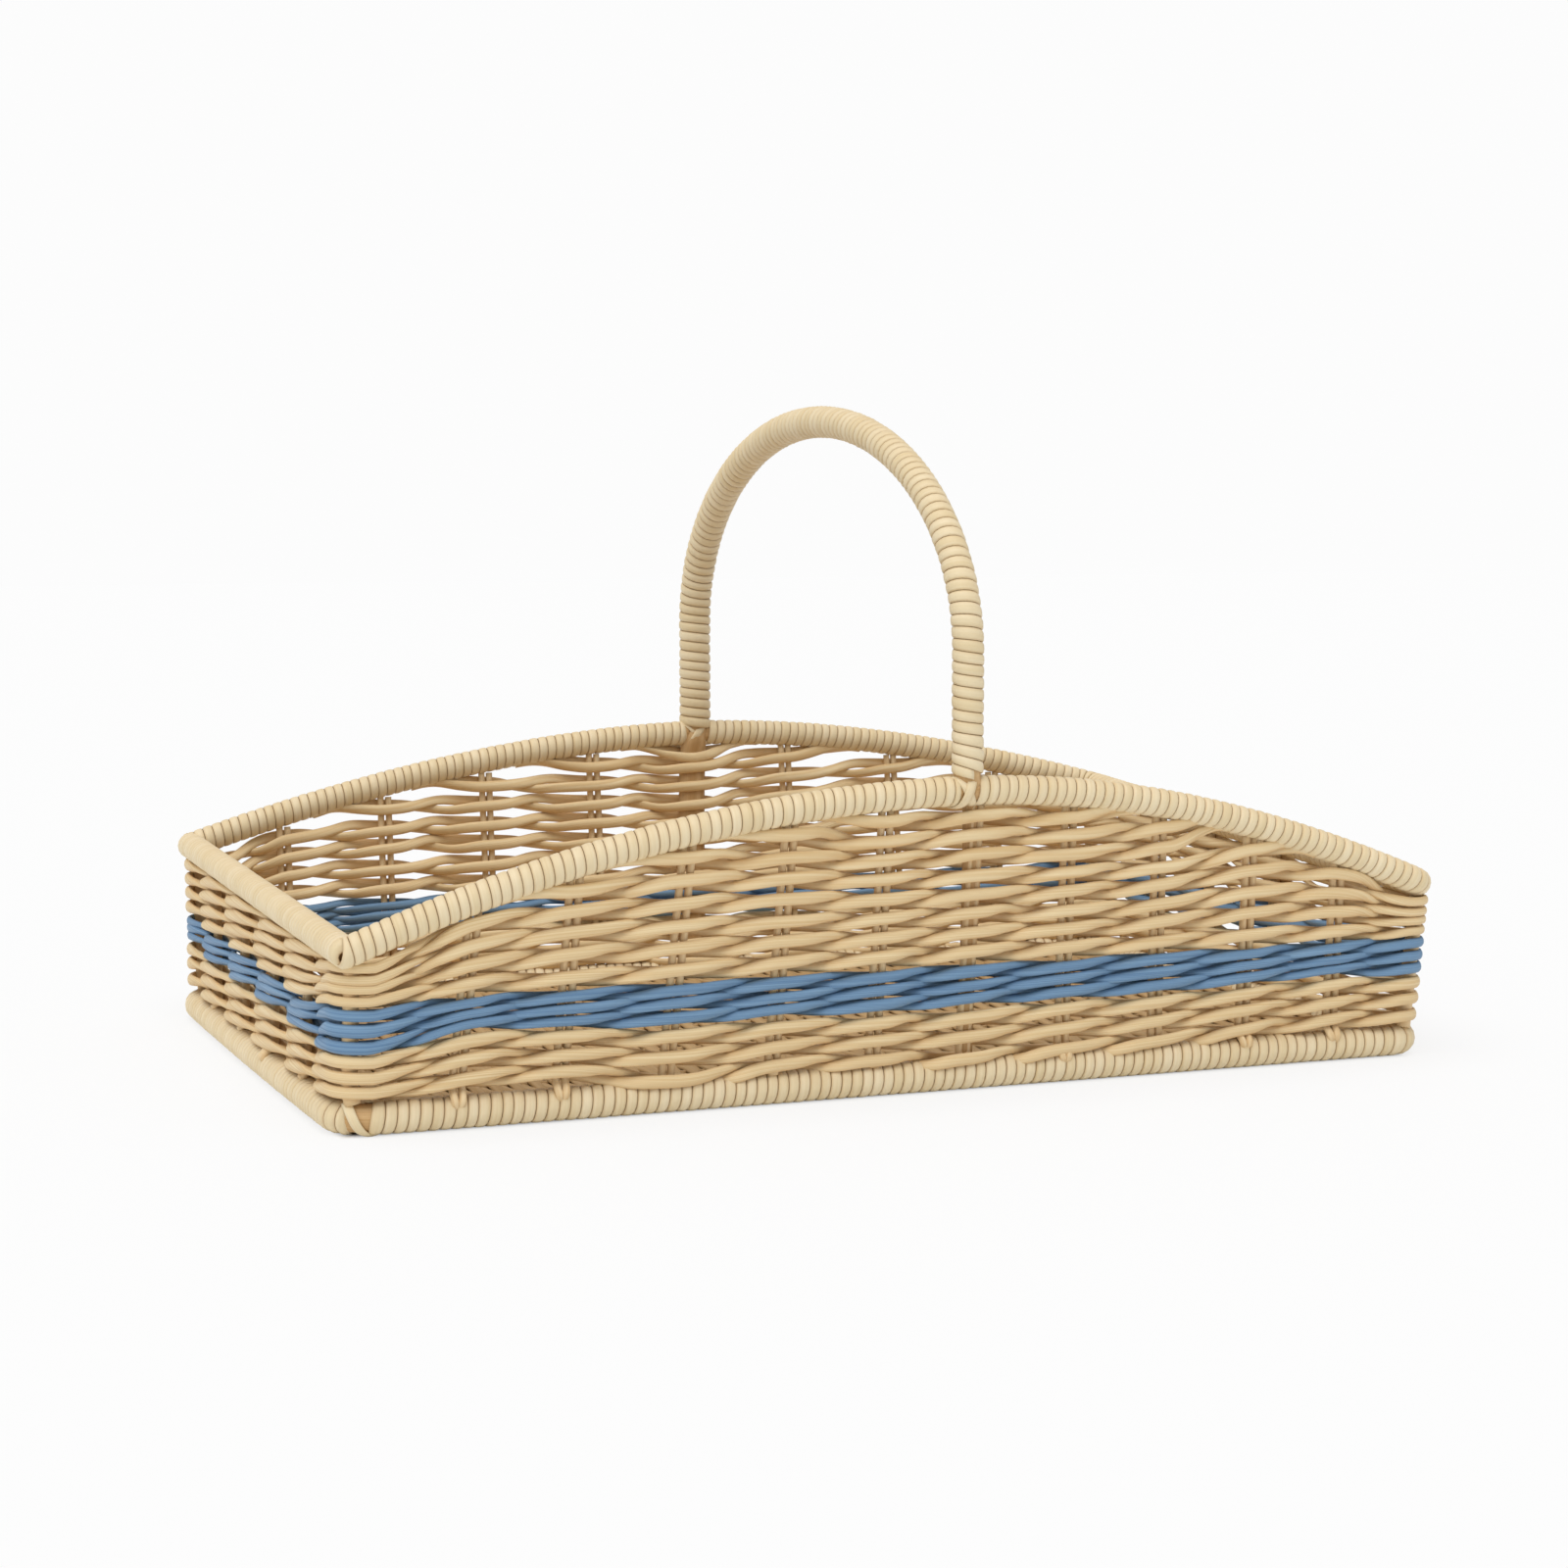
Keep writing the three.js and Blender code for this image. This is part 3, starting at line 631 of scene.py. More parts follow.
flat_rim = rounded_rectangle(rim_length, rim_width, (rim_corner_radius,) * 4)
on_side = np.abs(flat_rim[:, 1]) > rim_width / 2 - rim_corner_radius
flat_rim[:, 1] += np.where(on_side, np.sign(flat_rim[:, 1]) * rim_side_bow * arch_share(flat_rim[:, 0]), 0)
from_joint = np.where(flat_rim[:, 1] < 0, front_joint[1], back_joint[1])
flat_rim = flat_rim[flat_rim[:, 0] > from_joint]
right_path = np.column_stack([flat_rim, rim_height(flat_rim[:, 0], flat_rim[:, 1])])

rim_section = cane_section("rim_section", 2 * rim_pole_radius, 2 * rim_pole_radius, 16)
rim_rods = bmesh.new()
# The poles stop a few points, which are about 1 mm apart, before the rounded ends of the wrapping
for i, path in enumerate((back_left[:-5], left_end[4:-4], front_left[5:], right_path)):
    add_strand(rim_rods, path, rim_section, 3.1 + i)
add_piece("rim_rods", close_strands(rim_rods, "rim_rods"), peeled_pole, "pole", "rim_pole")

round_end = 3 * mm
lengths = ((back_left, (round_end, round_end)), (left_end, (round_end, 2.5 * mm)),
           (front_left, (round_end, round_end)))
turns = [wrapped_cane("turns", path, rim_pole_radius, rim_pitch, 3.5 + i, ends=ends)
         for i, (path, ends) in enumerate(lengths)]
add_piece("rim_wrapping_left", joined("rim_wrapping_left", *turns), binding_cane, "binding",
          "rim_binding_left")
right_turns = wrapped_cane("rim_wrapping_right", right_path, rim_pole_radius, rim_pitch, 8.5)
add_piece("rim_wrapping_right", right_turns, binding_cane, "binding", "rim_binding_right")


# Handle. A pole bent to a hoop and wrapped in slightly wider flat cane down to the rim. Below the rim its
# two legs are shaved flat, and run down inside the walls to the base.
handle_front_x = 16.3 * mm
handle_back_x = 16.1 * mm
handle_foot_x = {-1: 21.5 * mm, 1: 10.5 * mm}
handle_pole_radius = 4.6 * mm
handle_back_girth = 1.2
handle_pitch = 4 * mm
handle_straight_top = 154 * mm
handle_arch_rise = 81.5 * mm
front_seat = 111 * mm
back_seat = 107 * mm
leg_top = 100 * mm
leg_thickness_share = 0.4
leg_width_shares = {-1: 0.62, 1: 1.05}
leg_inset = 0.6 * mm
wall_floor = 11.4 * mm
highest_wall = 107 * mm


def wall_half_width(x, z):
    share = (z - base_height) / (rim_end_height + rim_arch_rise * arch_share(x) - base_height)
    return base_width / 2 + (rim_half_width(x) - base_width / 2) * np.minimum(share, 1)


def handle_girth(y):
    """The handle is a little thicker towards the back."""
    return 1 + (handle_back_girth - 1) * np.clip(y / rim_width + 0.5, 0, 1)


half_span = float(rim_half_width(arch_peak))
hoop = [(handle_front_x, -half_span, z) for z in np.arange(front_seat, handle_straight_top, 1 * mm)]
for angle in np.linspace(0, math.pi, 400):
    x = handle_front_x + (handle_back_x - handle_front_x) * angle / math.pi
    hoop.append((x, -half_span * math.cos(angle), handle_straight_top + handle_arch_rise * math.sin(angle)))
hoop += [(handle_back_x, half_span, z) for z in np.arange(handle_straight_top, back_seat, -1 * mm)]
hoop = np.array(hoop)
handle_turns = wrapped_cane("handle_wrapping", hoop, handle_pole_radius, handle_pitch, 9.5,
                            sideways=(1, 0, 0), girths=handle_girth(hoop[:, 1]))
# The last turns of the front leg slant down to the right
handle_points = points_of(handle_turns)
slant = 0.25 * np.clip(1 - (handle_points[:, 2] - front_seat) / (16 * mm), 0, 1) * (handle_points[:, 1] < 0)
handle_points[:, 2] -= slant * (handle_points[:, 0] - handle_front_x)
handle_turns.vertices.foreach_set("co", handle_points.ravel())
handle_turns.update()
add_piece("handle_wrapping", handle_turns, binding_cane, "binding", "handle_binding")


def leg_path(side, seat, top_x):
    """Down one leg from the handle's seat to the base, inside the wall below the rim."""
    path = []
    for z in np.linspace(seat, wall_floor, 60):
        share = (seat - z) / (seat - wall_floor)
        x = top_x + (handle_foot_x[side] - top_x) * math.sqrt(share)
        inset = leg_inset * min(1, max(0, (seat - z) / (seat - leg_top)))
        half_width = float(wall_half_width(x, min(z, highest_wall)))
        path.append((x, side * (half_width - inset), z))
    return path


front_leg = leg_path(-1, front_seat, handle_front_x)[::-1]
back_leg = leg_path(1, back_seat, handle_back_x)
handle_line = np.array(front_leg[:-1] + list(hoop[:-1]) + back_leg)
handle_section = cane_section("handle_section", 2 * handle_pole_radius, 2 * handle_pole_radius, 16)
handle_rod = bmesh.new()
add_strand(handle_rod, handle_line, handle_section, 11.5, radii=handle_girth(handle_line[:, 1]))
handle_rod = close_strands(handle_rod, "handle_rod")
rod_points = points_of(handle_rod)
for side, leg, seat in ((-1, np.array(front_leg), front_seat), (1, np.array(back_leg)[::-1], back_seat)):
    flatness = np.clip((seat - 3 * mm - rod_points[:, 2]) / (6 * mm), 0, 1)
    flatness *= np.sign(rod_points[:, 1]) == side
    for axis, share in ((0, leg_width_shares[side]), (1, leg_thickness_share)):
        middle = np.interp(rod_points[:, 2], leg[:, 2], leg[:, axis])
        rod_points[:, axis] += (rod_points[:, axis] - middle) * (share - 1) * flatness
handle_rod.vertices.foreach_set("co", rod_points.ravel())
handle_rod.update()
# Below the rim the pole gets a little painted shade, growing downwards
set_attribute(handle_rod, "shade", np.clip((112 * mm - rod_points[:, 2]) / (8 * mm), 0, 0.12))
add_piece("handle_rod", handle_rod, peeled_pole, "pole", "handle_pole")


# Handle lashings. Where a leg passes between the ends of the two rim poles, two strips of flat cane cross
# over it and round the rim, and hold the three together.
lashing_height = 106.5 * mm
lashing_width = 3.2 * mm
for side, place, joint, slope in (("front", -1, front_joint, 5.5 * mm), ("back", 1, back_joint, 9 * mm)):
    middle = ((joint[0] + joint[1]) / 2, place * half_span, lashing_height)
    strips = []
    # Each strip gets a little painted shade
    for order, reach in ((0, slope), (1, -slope)):
        radius = rim_pole_radius + (0.1 + 0.75 * (order == 0)) * mm
        strips.append(strip_round_pole("strip", middle, (0, -1, 0), radius, (-150, 150), (reach, -reach),
                                       lashing_width, 12.2 + order + place * 0.3, shade=0.1))
    add_piece(f"handle_lashing_{side}_strips", joined("strips", *strips), binding_cane, "binding",
              f"handle_lashing_{side}")


# Stakes. Thin rods of round core cane, each bent double. The two legs show side by side between the rows,
# and the bend comes out over the base frame. A single thicker rod stands in each corner.
stake_radius = 1.35 * mm
leg_spacing = 1.6 * mm
corner_post_radius = 2.7 * mm
wall_corner_radii = {-1: 9 * mm, 1: 6 * mm}
# How far each stake stands from its even place, in mm, at its foot and at the rim
front_gap_counts = (6, 5)
front_foot_shifts = (1.3, 0.3, 1.3, 3.3, 4.3, 2.4, 4.5, 5.5, 4.6, 3.7)
front_top_shifts = (6, 4, 6, 6.5, 4.3, 2.2, 1, 0.7, 1.1, 0.4)
back_gap_counts = (5, 4)
back_foot_shifts = (-6.4, -8.1, -8.6, -4.7, -5, -6.9, -2.4, 0)
back_top_shifts = (-6.4, -8.1, -8.6, -4.7, -3, -6.9, -2.4, 0)
end_gap_count = 5
# Points down a stake's foot, in mm: height, and how far outside the wall's middle. Most bends are caught
# in the wrapping, and a few come out over it.
hidden_foot = ((14, 0), (12.6, 0.6), (11.6, 1.6))
open_foot = ((14, 0), (12.6, 1.5), (11.5, 2.9), (10.4, 3.8), (9.4, 4.1), (8.4, 3.4))
open_feet = ("front_stake_1", "front_stake_2", "front_stake_7", "front_stake_9", "front_stake_10",
             "left_stake_2", "back_stake_3", "right_stake_3")
below_rim = 4.9 * mm
post_floor = 10.6 * mm
post_foot_height = 5 * mm
post_foot_reach = 1.6 * mm


def wall_half_length(z):
    share = (z - base_height) / (rim_end_height - base_height)
    return base_length / 2 + (rim_length - base_length) / 2 * share


def side_places(gap_counts):
    gaps = [(-base_length / 2, arch_peak, gap_counts[0]), (arch_peak, base_length / 2, gap_counts[1])]
    places = []
    for start, end, count in gaps:
        places += [start + (end - start) * i / count for i in range(1, count + 1)]
    return places[:-1]


front_places = side_places(front_gap_counts)
back_places = side_places(back_gap_counts)
end_places = [2 * i / end_gap_count - 1 for i in range(1, end_gap_count)]
stake_section = cane_section("stake_section", 2 * stake_radius, 2 * stake_radius, 10)
post_section = cane_section("post_section", 2 * corner_post_radius, 2 * corner_post_radius, 12)
luck = random.Random(4)


def add_stake(name, node, place, out, top):
    """place(z) is the middle of the wall there, and out the way out of it."""
    out = Vector(out)
    along = Vector((-out.y, out.x, 0))
    stake_foot = open_foot if name in open_feet else hidden_foot
    lean = luck.uniform(-0.5, 0.5) * mm
    legs = []
    for side in (-1, 1):
        wave = luck.uniform(-0.25, 0.25) * mm
        leg = []
        for z in np.linspace(top(side), stake_foot[0][0] * mm, 28):
            share = (z - wall_floor) / (top(side) - wall_floor)
            reach = side * leg_spacing + lean * share + wave * math.sin(math.pi * share)
            leg.append(Vector(place(z)) + along * reach)
        for i, (z, offset) in enumerate(stake_foot[1:], 1):
            closing = 1 - 0.55 * (i / (len(stake_foot) - 1)) ** 2
            leg.append(Vector(place(z * mm)) + along * side * leg_spacing * closing + out * offset * mm)
        legs.append(leg)
    target = bmesh.new()
    path = legs[0] + legs[1][::-1]
    add_strand(target, np.array(path), stake_section, luck.uniform(10, 90))
    # A little painted shade all over the stake
    add_piece(name, close_strands(target, name, 0.1), core_cane, "stake", node)


def shifted_place(x, z, shifts):
    share = (z - wall_floor) / (rim_end_height + rim_arch_rise * float(arch_share(x)) - wall_floor)
    return x + (shifts[0] + (shifts[1] - shifts[0]) * share) * mm


for front, places, foot_shifts, top_shifts in ((True, front_places, front_foot_shifts, front_top_shifts),
                                               (False, back_places, back_foot_shifts, back_top_shifts)):
    side = "front" if front else "back"
    sign = -1 if front else 1
    for i, x in enumerate(places):
        shifts = (foot_shifts[i], top_shifts[i])

        def place(z, x=x, sign=sign, shifts=shifts):
            here = shifted_place(x, z, shifts)
            return (here, sign * float(wall_half_width(here, z)), z)

        def top(leg, x=x, sign=sign, shifts=shifts):
            here = x + shifts[1] * mm + leg * leg_spacing
            return float(rim_height(here, sign * rim_width / 2)) - below_rim

        add_stake(f"{side}_stake_{i + 1}", f"stake_{side}_{i + 1}", place, (0, sign, 0), top)
for right in (False, True):
    side = "right" if right else "left"
    sign = 1 if right else -1
    for i, share in enumerate(end_places):
        def place(z, share=share, sign=sign):
            half = float(wall_half_width(sign * base_length / 2, z))
            return (sign * wall_half_length(z), share * half, z)

        def top(leg, share=share, sign=sign):
            return float(rim_height(sign * rim_end, share * rim_width / 2)) - below_rim

        add_stake(f"{side}_stake_{i + 1}", f"stake_{side}_{i + 1}", place, (sign, 0, 0), top)
for x_sign, y_sign, where in ((-1, -1, "front_left"), (1, -1, "front_right"), (1, 1, "back_right"),
                              (-1, 1, "back_left")):
    inset = wall_corner_radii[x_sign] * (1 - math.sqrt(0.5))
    path = []
    for z in np.linspace(post_floor, corner_heights[x_sign, y_sign] - 4.5 * mm, 20):
        x = x_sign * (wall_half_length(z) - inset)
        y = y_sign * (float(wall_half_width(x_sign * base_length / 2, z)) - inset)
        foot = max(0, 1 - (z - post_floor) / post_foot_height) * post_foot_reach
        path.append((x - 0.6 * x_sign * foot, y + y_sign * foot, z))
    target = bmesh.new()
    add_strand(target, np.array(path), post_section, luck.uniform(10, 90))
    # A little painted shade all over the post
    post = close_strands(target, f"{where}_post", 0.1)
    add_piece(f"{where}_post", post, core_cane, "stake", f"corner_post_{where}")


# Rows of the walls. Each row is a pair of round core canes that are twisted half a turn between the stakes,
# so that each stake is held between them: the cane that goes in lies on the one that comes out. The three
# dyed rows are beaten down closer than the natural ones. Short rows fill the arches of the long walls, and
# their ends are tucked up into the rim wrapping.
weaver_width = 2.8 * mm
weaver_height = 4.5 * mm
dyed_weaver_height = 4.6 * mm
full_rows = 10
lower_rows = 3
dyed_rows = 3
# How high the rows below the dyed band lie between the first row and the band
lower_shares = (0, 0.385, 0.755)
above_band = 0.8 * mm
# In mm, the height of the first row, and of the underside and top of the band: at each front stake, at the
# four corners from the front left one, and elsewhere, where two values are the least and the most
front_first_rows = (16.4, 16.5, 11, 13.4, 12.5, 10.9, 11.6, 12, 13.9, 15.3)
front_band_floors = (33.6, 32.7, 31, 31.3, 30.4, 30.5, 30.9, 31.3, 31.9, 32.5)
front_band_ceiling = 44.8
corner_first_rows = (14.6, 14.8, 14.2, 15)
corner_band_floors = (27.4, 31, 31.4, 31.4)
corner_band_ceilings = (42.6, 44.8, 44, 40.4)
back_first_rows = (11.5, 15)
back_band_floors = (30.2, 31.4)
back_band_ceiling = 42.6
end_first_rows = (12.5, 14.5)
# The underside and top of the band on the two short walls
left_band = (28.6, 38.6)
right_band = (31, 44.8)
# How much higher than the middle of its row the cane outside a stake lies, and the one inside lower
natural_rise = 0.75 * mm
dyed_rise = 0.35 * mm
sample_step = 1.6 * mm
side_dwell = 0.72
end_dwell = 0.45
tail_share = 0.72
# First and last stake that each short row passes, and how many rows lie between it and the full ones
front_short_rows = ((2, 9, 0), (3, 8, 1), (4, 8, 2), (5, 7, 3))
back_short_rows = ((2, 8, 0), (3, 7, 1), (4, 6, 2), (5, 5, 2.6))
dyed_dark = (90, 124, 160)
dyed_light = (134, 167, 195)
dyed_shade = (62, 86, 116)
dyed_cane = cane_material("dyed_cane", dyed_dark, dyed_light, dyed_shade, 0.5)
weaver_section = cane_section("weaver_section", weaver_width, weaver_height)
dyed_section = cane_section("dyed_section", weaver_width, dyed_weaver_height)

side_run = base_length - wall_corner_radii[-1] - wall_corner_radii[1]
end_runs = {sign: base_width - 2 * wall_corner_radii[sign] for sign in (-1, 1)}
corner_runs = {sign: math.pi / 2 * wall_corner_radii[sign] for sign in (-1, 1)}
runs = (side_run, corner_runs[1], end_runs[1], corner_runs[1],
        side_run, corner_runs[-1], end_runs[-1], corner_runs[-1])
side_starts = np.cumsum((0,) + runs[:-1])
loop_length = sum(runs)


def wall_point(u, z):
    """The middle of the wall and the way out, u metres round from the start of the front at the left."""
    u = u % loop_length
    part = int(np.searchsorted(side_starts, u, side="right")) - 1
    turn = (part // 2) * math.pi / 2
    half_length = wall_half_length(z)
    end_half_width = float(wall_half_width(base_length / 2, z))
    share = (u - side_starts[part]) / runs[part]
    if part in (0, 4):
        sign = -1 if part == 0 else 1
        left = -half_length + wall_corner_radii[-1]
        right = half_length - wall_corner_radii[1]
        x = left + (right - left) * (share if sign < 0 else 1 - share)
        y = sign * float(wall_half_width(x, z))
        return Vector((x, y, z)), Vector((0, sign, 0))
    x_sign = 1 if part in (1, 2, 3) else -1
    radius = wall_corner_radii[x_sign]
    if part in (2, 6):
        reach = x_sign * (2 * share - 1) * (end_half_width - radius)
        return Vector((x_sign * half_length, reach, z)), Vector((x_sign, 0, 0))
    y_sign = -1 if part in (1, 7) else 1
    angle = -math.pi / 2 + turn + (u - side_starts[part]) / radius
    out = Vector((math.cos(angle), math.sin(angle), 0))
    centre = Vector((x_sign * (half_length - radius), y_sign * (end_half_width - radius), z))
    return centre + out * radius, out


def rim_underside(u):
    point = wall_point(u, 80 * mm)[0]
    return float(rim_height(point.x, point.y)) - 5.6 * mm


def is_dyed(row):
    return lower_rows <= row < lower_rows + dyed_rows


def height_in_rows(row, here):
    """The height of a row at a stop: below the dyed band, in it, or in the room from there to the rim."""
    floor, band_ceiling = here["band_floor"], here["band_ceiling"]
    if row < lower_rows:
        return here["first_row"] + (floor - here["first_row"]) * lower_shares[row]
    if is_dyed(row):
        return floor + (band_ceiling - floor) * (row - lower_rows + 0.5) / dyed_rows
    upper_floor = band_ceiling + above_band
    share = (row - lower_rows - dyed_rows + 0.5) / (here["rows"] - lower_rows - dyed_rows)
    return upper_floor + (here["ceiling"] - upper_floor) * share


def stop(start, end, rows, outer, inner, dwell, first_row, band):
    """A place where the canes lie outside and inside something that stands in the wall."""
    ceiling = rim_underside((start + end) / 2)
    return {"start": start, "end": end, "rows": rows, "ceiling": ceiling, "outer": outer, "inner": inner,
            "dwell": dwell, "first_row": first_row * mm, "band_floor": band[0] * mm,
            "band_ceiling": band[1] * mm}


beside_stake = stake_radius + weaver_width / 2 + 0.1 * mm
outside_post = 3 * mm
inside_post = corner_post_radius + weaver_width / 2 + 0.1 * mm
inside_leg = leg_inset + handle_pole_radius * leg_thickness_share + weaver_width / 2
stops = []
for part in range(8):
    start = side_starts[part]
    if part % 2:
        # The corners come round in the order front right, back right, back left, front left
        corner = (part // 2 + 1) % 4
        band = (corner_band_floors[corner], corner_band_ceilings[corner])
        stops.append(stop(start, start + runs[part], full_rows, outside_post, inside_post, end_dwell,
                          corner_first_rows[corner], band))
        continue
    if part in (0, 4):
        front = part == 0
        places, short_rows = (front_places, front_short_rows) if front else (back_places, back_short_rows)
        foot_shifts = front_foot_shifts if front else back_foot_shifts
        top_shifts = front_top_shifts if front else back_top_shifts
        found = []
        for i, (x, shift) in enumerate(zip(places, zip(foot_shifts, top_shifts))):
            passing = max([0] + [order + 1 for first, last, order in short_rows if first <= i + 1 <= last])
            here = x + sum(shift) / 2 * mm
            inner = inside_leg if abs(x - arch_peak) < mm else beside_stake
            if front:
                u = start + base_length / 2 + (here - wall_corner_radii[-1])
                first_row = front_first_rows[i]
                band = (front_band_floors[i], front_band_ceiling)
            else:
                u = start + base_length / 2 + (-here - wall_corner_radii[1])
                first_row = luck.uniform(*back_first_rows)
                band = (luck.uniform(*back_band_floors), back_band_ceiling)
            found.append(stop(u, u, full_rows + passing, beside_stake, inner, side_dwell, first_row, band))
        stops += found if front else found[::-1]
        continue
    for share in end_places:
        u = start + runs[part] / 2 + share * base_width / 2
        band = [edge + luck.uniform(-0.4, 0.4) for edge in (right_band if part == 2 else left_band)]
        first_row = luck.uniform(*end_first_rows)
        stops.append(stop(u, u, full_rows, beside_stake, beside_stake, end_dwell, first_row, band))


def eased(share):
    return share * share * (3 - 2 * share)


def smooth(values, width):
    """The running mean of values round the loop."""
    kernel = np.ones(width) / width
    wide = np.concatenate([values[-width:], values, values[:width]])
    return np.convolve(wide, kernel, "same")[width:-width]


samples = int(loop_length / sample_step)
places_round = np.arange(samples) * loop_length / samples
undersides = np.array([rim_underside(u) for u in places_round])
stop_before = np.empty(samples, int)
share_between = np.empty(samples)
for i, u in enumerate(places_round):
    for k, here in enumerate(stops):
        after = stops[(k + 1) % len(stops)]
        gap_end = after["start"] + (loop_length if k == len(stops) - 1 else 0)
        for v in (u, u + loop_length):
            if here["start"] <= v < gap_end:
                stop_before[i] = k
                share_between[i] = max(0, (v - here["end"]) / (gap_end - here["end"]))

# The wall that each row is in, if not in all, and its order from the bottom
row_orders = [(None, row) for row in range(full_rows)]
row_orders += [("front", full_rows + order) for first, last, order in front_short_rows]
row_orders += [("back", full_rows + order) for first, last, order in back_short_rows]
row_count = len(row_orders)
row_heights = np.full((row_count, samples), np.nan)
# How far each end of a short row has risen into the rim
row_tucks = np.zeros((row_count, samples))
wobble = np.array([[luck.uniform(-0.35, 0.35) * mm for k in stops] for row in range(row_count)])


def knot_height(row, k):
    k = k % len(stops)
    return height_in_rows(row_orders[row][1], stops[k]) + wobble[row, k]


def through_knots(values, k, t):
    """A smooth curve through the heights at the stops."""
    before, here, after, beyond = (values(k + step) for step in (-1, 0, 1, 2))
    slope_here = (after - before) / 2
    slope_after = (beyond - here) / 2
    return ((2 * t ** 3 - 3 * t ** 2 + 1) * here + (t ** 3 - 2 * t ** 2 + t) * slope_here
            + (3 * t ** 2 - 2 * t ** 3) * after + (t ** 3 - t ** 2) * slope_after)


for row in range(full_rows):
    for i in range(samples):
        row_heights[row, i] = through_knots(lambda k: knot_height(row, k), stop_before[i], share_between[i])

stops_before_back = len(front_places) + 1 + len(end_places) + 1
for row, (first, last, order) in enumerate(front_short_rows + back_short_rows, full_rows):
    if row_orders[row][0] == "front":
        first_stop, last_stop = first - 1, last - 1
    else:
        first_stop = stops_before_back + len(back_places) - last
        last_stop = stops_before_back + len(back_places) - first
    for i in range(samples):
        k, t = int(stop_before[i]), share_between[i]
        if first_stop <= k < last_stop:
            low, high = knot_height(row, k), knot_height(row, k + 1)
            row_heights[row, i] = low + (high - low) * eased(t)
            continue
        if k == last_stop:
            knot, past = last_stop, t
        elif k == first_stop - 1:
            knot, past = first_stop, 1 - t
        else:
            continue
        if past <= tail_share:
            tuck = eased(past / tail_share)
            row_heights[row, i] = knot_height(row, knot) * (1 - tuck) + (undersides[i] + 2 * mm) * tuck
            row_tucks[row, i] = tuck

half_width = weaver_width / 2
lowest_free = 13.2 * mm
least_room = 3.6 * mm
most_room = 7.4 * mm


def room_for(row):
    """How far apart a row is from those over and under it, whichever is nearer."""
    wall, order = row_orders[row]
    heights = row_heights[row]
    room = np.full(samples, np.nan)
    for other, (other_wall, other_order) in enumerate(row_orders):
        if abs(other_order - order) == 1 and (wall is None or other_wall in (None, wall)):
            room = np.fmin(room, np.abs(row_heights[other] - heights))
    room = np.where(np.isnan(room), 2 * (undersides - heights), room)
    return np.clip(room, least_room, most_room)


def strand_paths(row):
    """The two canes of a row round the basket: points, tilts, girths, and where they lie inside a stake."""
    heights = row_heights[row]
    half_height = (dyed_weaver_height if is_dyed(row) else weaver_height) / 2
    room = smooth(np.nan_to_num(room_for(row), nan=6 * mm), 9)
    girth = np.clip(room / (2 * half_height + 0.8 * mm), 0.72, 1)
    rise = dyed_rise if is_dyed(row) else natural_rise
    lean = ((half_height * girth) ** 2 - (room / 4) ** 2) / (half_height ** 2 - half_width ** 2)
    tilt = np.arcsin(np.sqrt(np.clip(lean, 0.15, 1)))
    reach = np.sqrt((half_height * np.cos(tilt)) ** 2 + (half_width * np.sin(tilt)) ** 2)
    swing = reach * girth + 0.05 * mm
    paths = []
    for half in (0, 1):
        points, tilts = [], []
        inside = np.zeros(samples, bool)
        seed = row * 7.3 + half * 31.7
        for i, u in enumerate(places_round):
            if np.isnan(heights[i]):
                points.append(None)
                tilts.append(0)
                continue
            k = int(stop_before[i])
            here, after = stops[k], stops[(k + 1) % len(stops)]
            t = share_between[i]
            late = 0.2 * noise.noise((k * 3.1, seed, 0.5))
            t = min(1, max(0, t + late * math.sin(math.pi * t)))
            dwell = min(here["dwell"], after["dwell"])
            t -= dwell * math.sin(math.tau * t) / math.tau
            phase = math.pi * (k + half + t)
            swing_out = math.cos(phase)
            beside_which = "outer" if swing_out > 0 else "inner"
            beside = here[beside_which] + (after[beside_which] - here[beside_which]) * eased(t)
            free = 1 - row_tucks[row, i]
            drift = 0.25 * mm * noise.noise((u * 14, seed, 3.3))
            z = heights[i] + (swing[i] * math.sin(phase) + rise * swing_out) * free + drift
            # The lowest canes lie against the base wrapping
            beside = (beside + 0.9 * max(0, lowest_free - z)) * free
            point, out = wall_point(u, z)
            points.append(point + out * (beside * swing_out + 0.1 * mm * noise.noise((u * 20, seed, 8.8))))
            tilts.append(tilt[i] * math.sin(phase))
            inside[i] = swing_out < -0.95
        paths.append((points, np.array(tilts), girth, inside))
    return paths


def shade_of_strands(mesh):
    """How much painted shade each point gets: where it faces the middle of the wall or the next row, and
    more on its underside.
    """
    points = points_of(mesh)
    normals = points_of(mesh, "normal")
    past_side = np.abs(points[:, 1]) - wall_half_width(points[:, 0], points[:, 2])
    past_end = np.abs(points[:, 0]) - wall_half_length(points[:, 2])
    in_side = past_side > past_end
    depth = np.where(in_side, past_side, past_end)
    facing = normals * np.sign(points)
    facing_out = np.where(in_side, facing[:, 1], facing[:, 0])
    inward = np.clip(-depth * facing_out / (1.6 * mm), 0, 1)
    edge = 0.18 * normals[:, 2] ** 2 + 0.12 * np.clip(-normals[:, 2], 0, 1)
    return np.clip(0.3 * inward + edge, 0, 0.8)


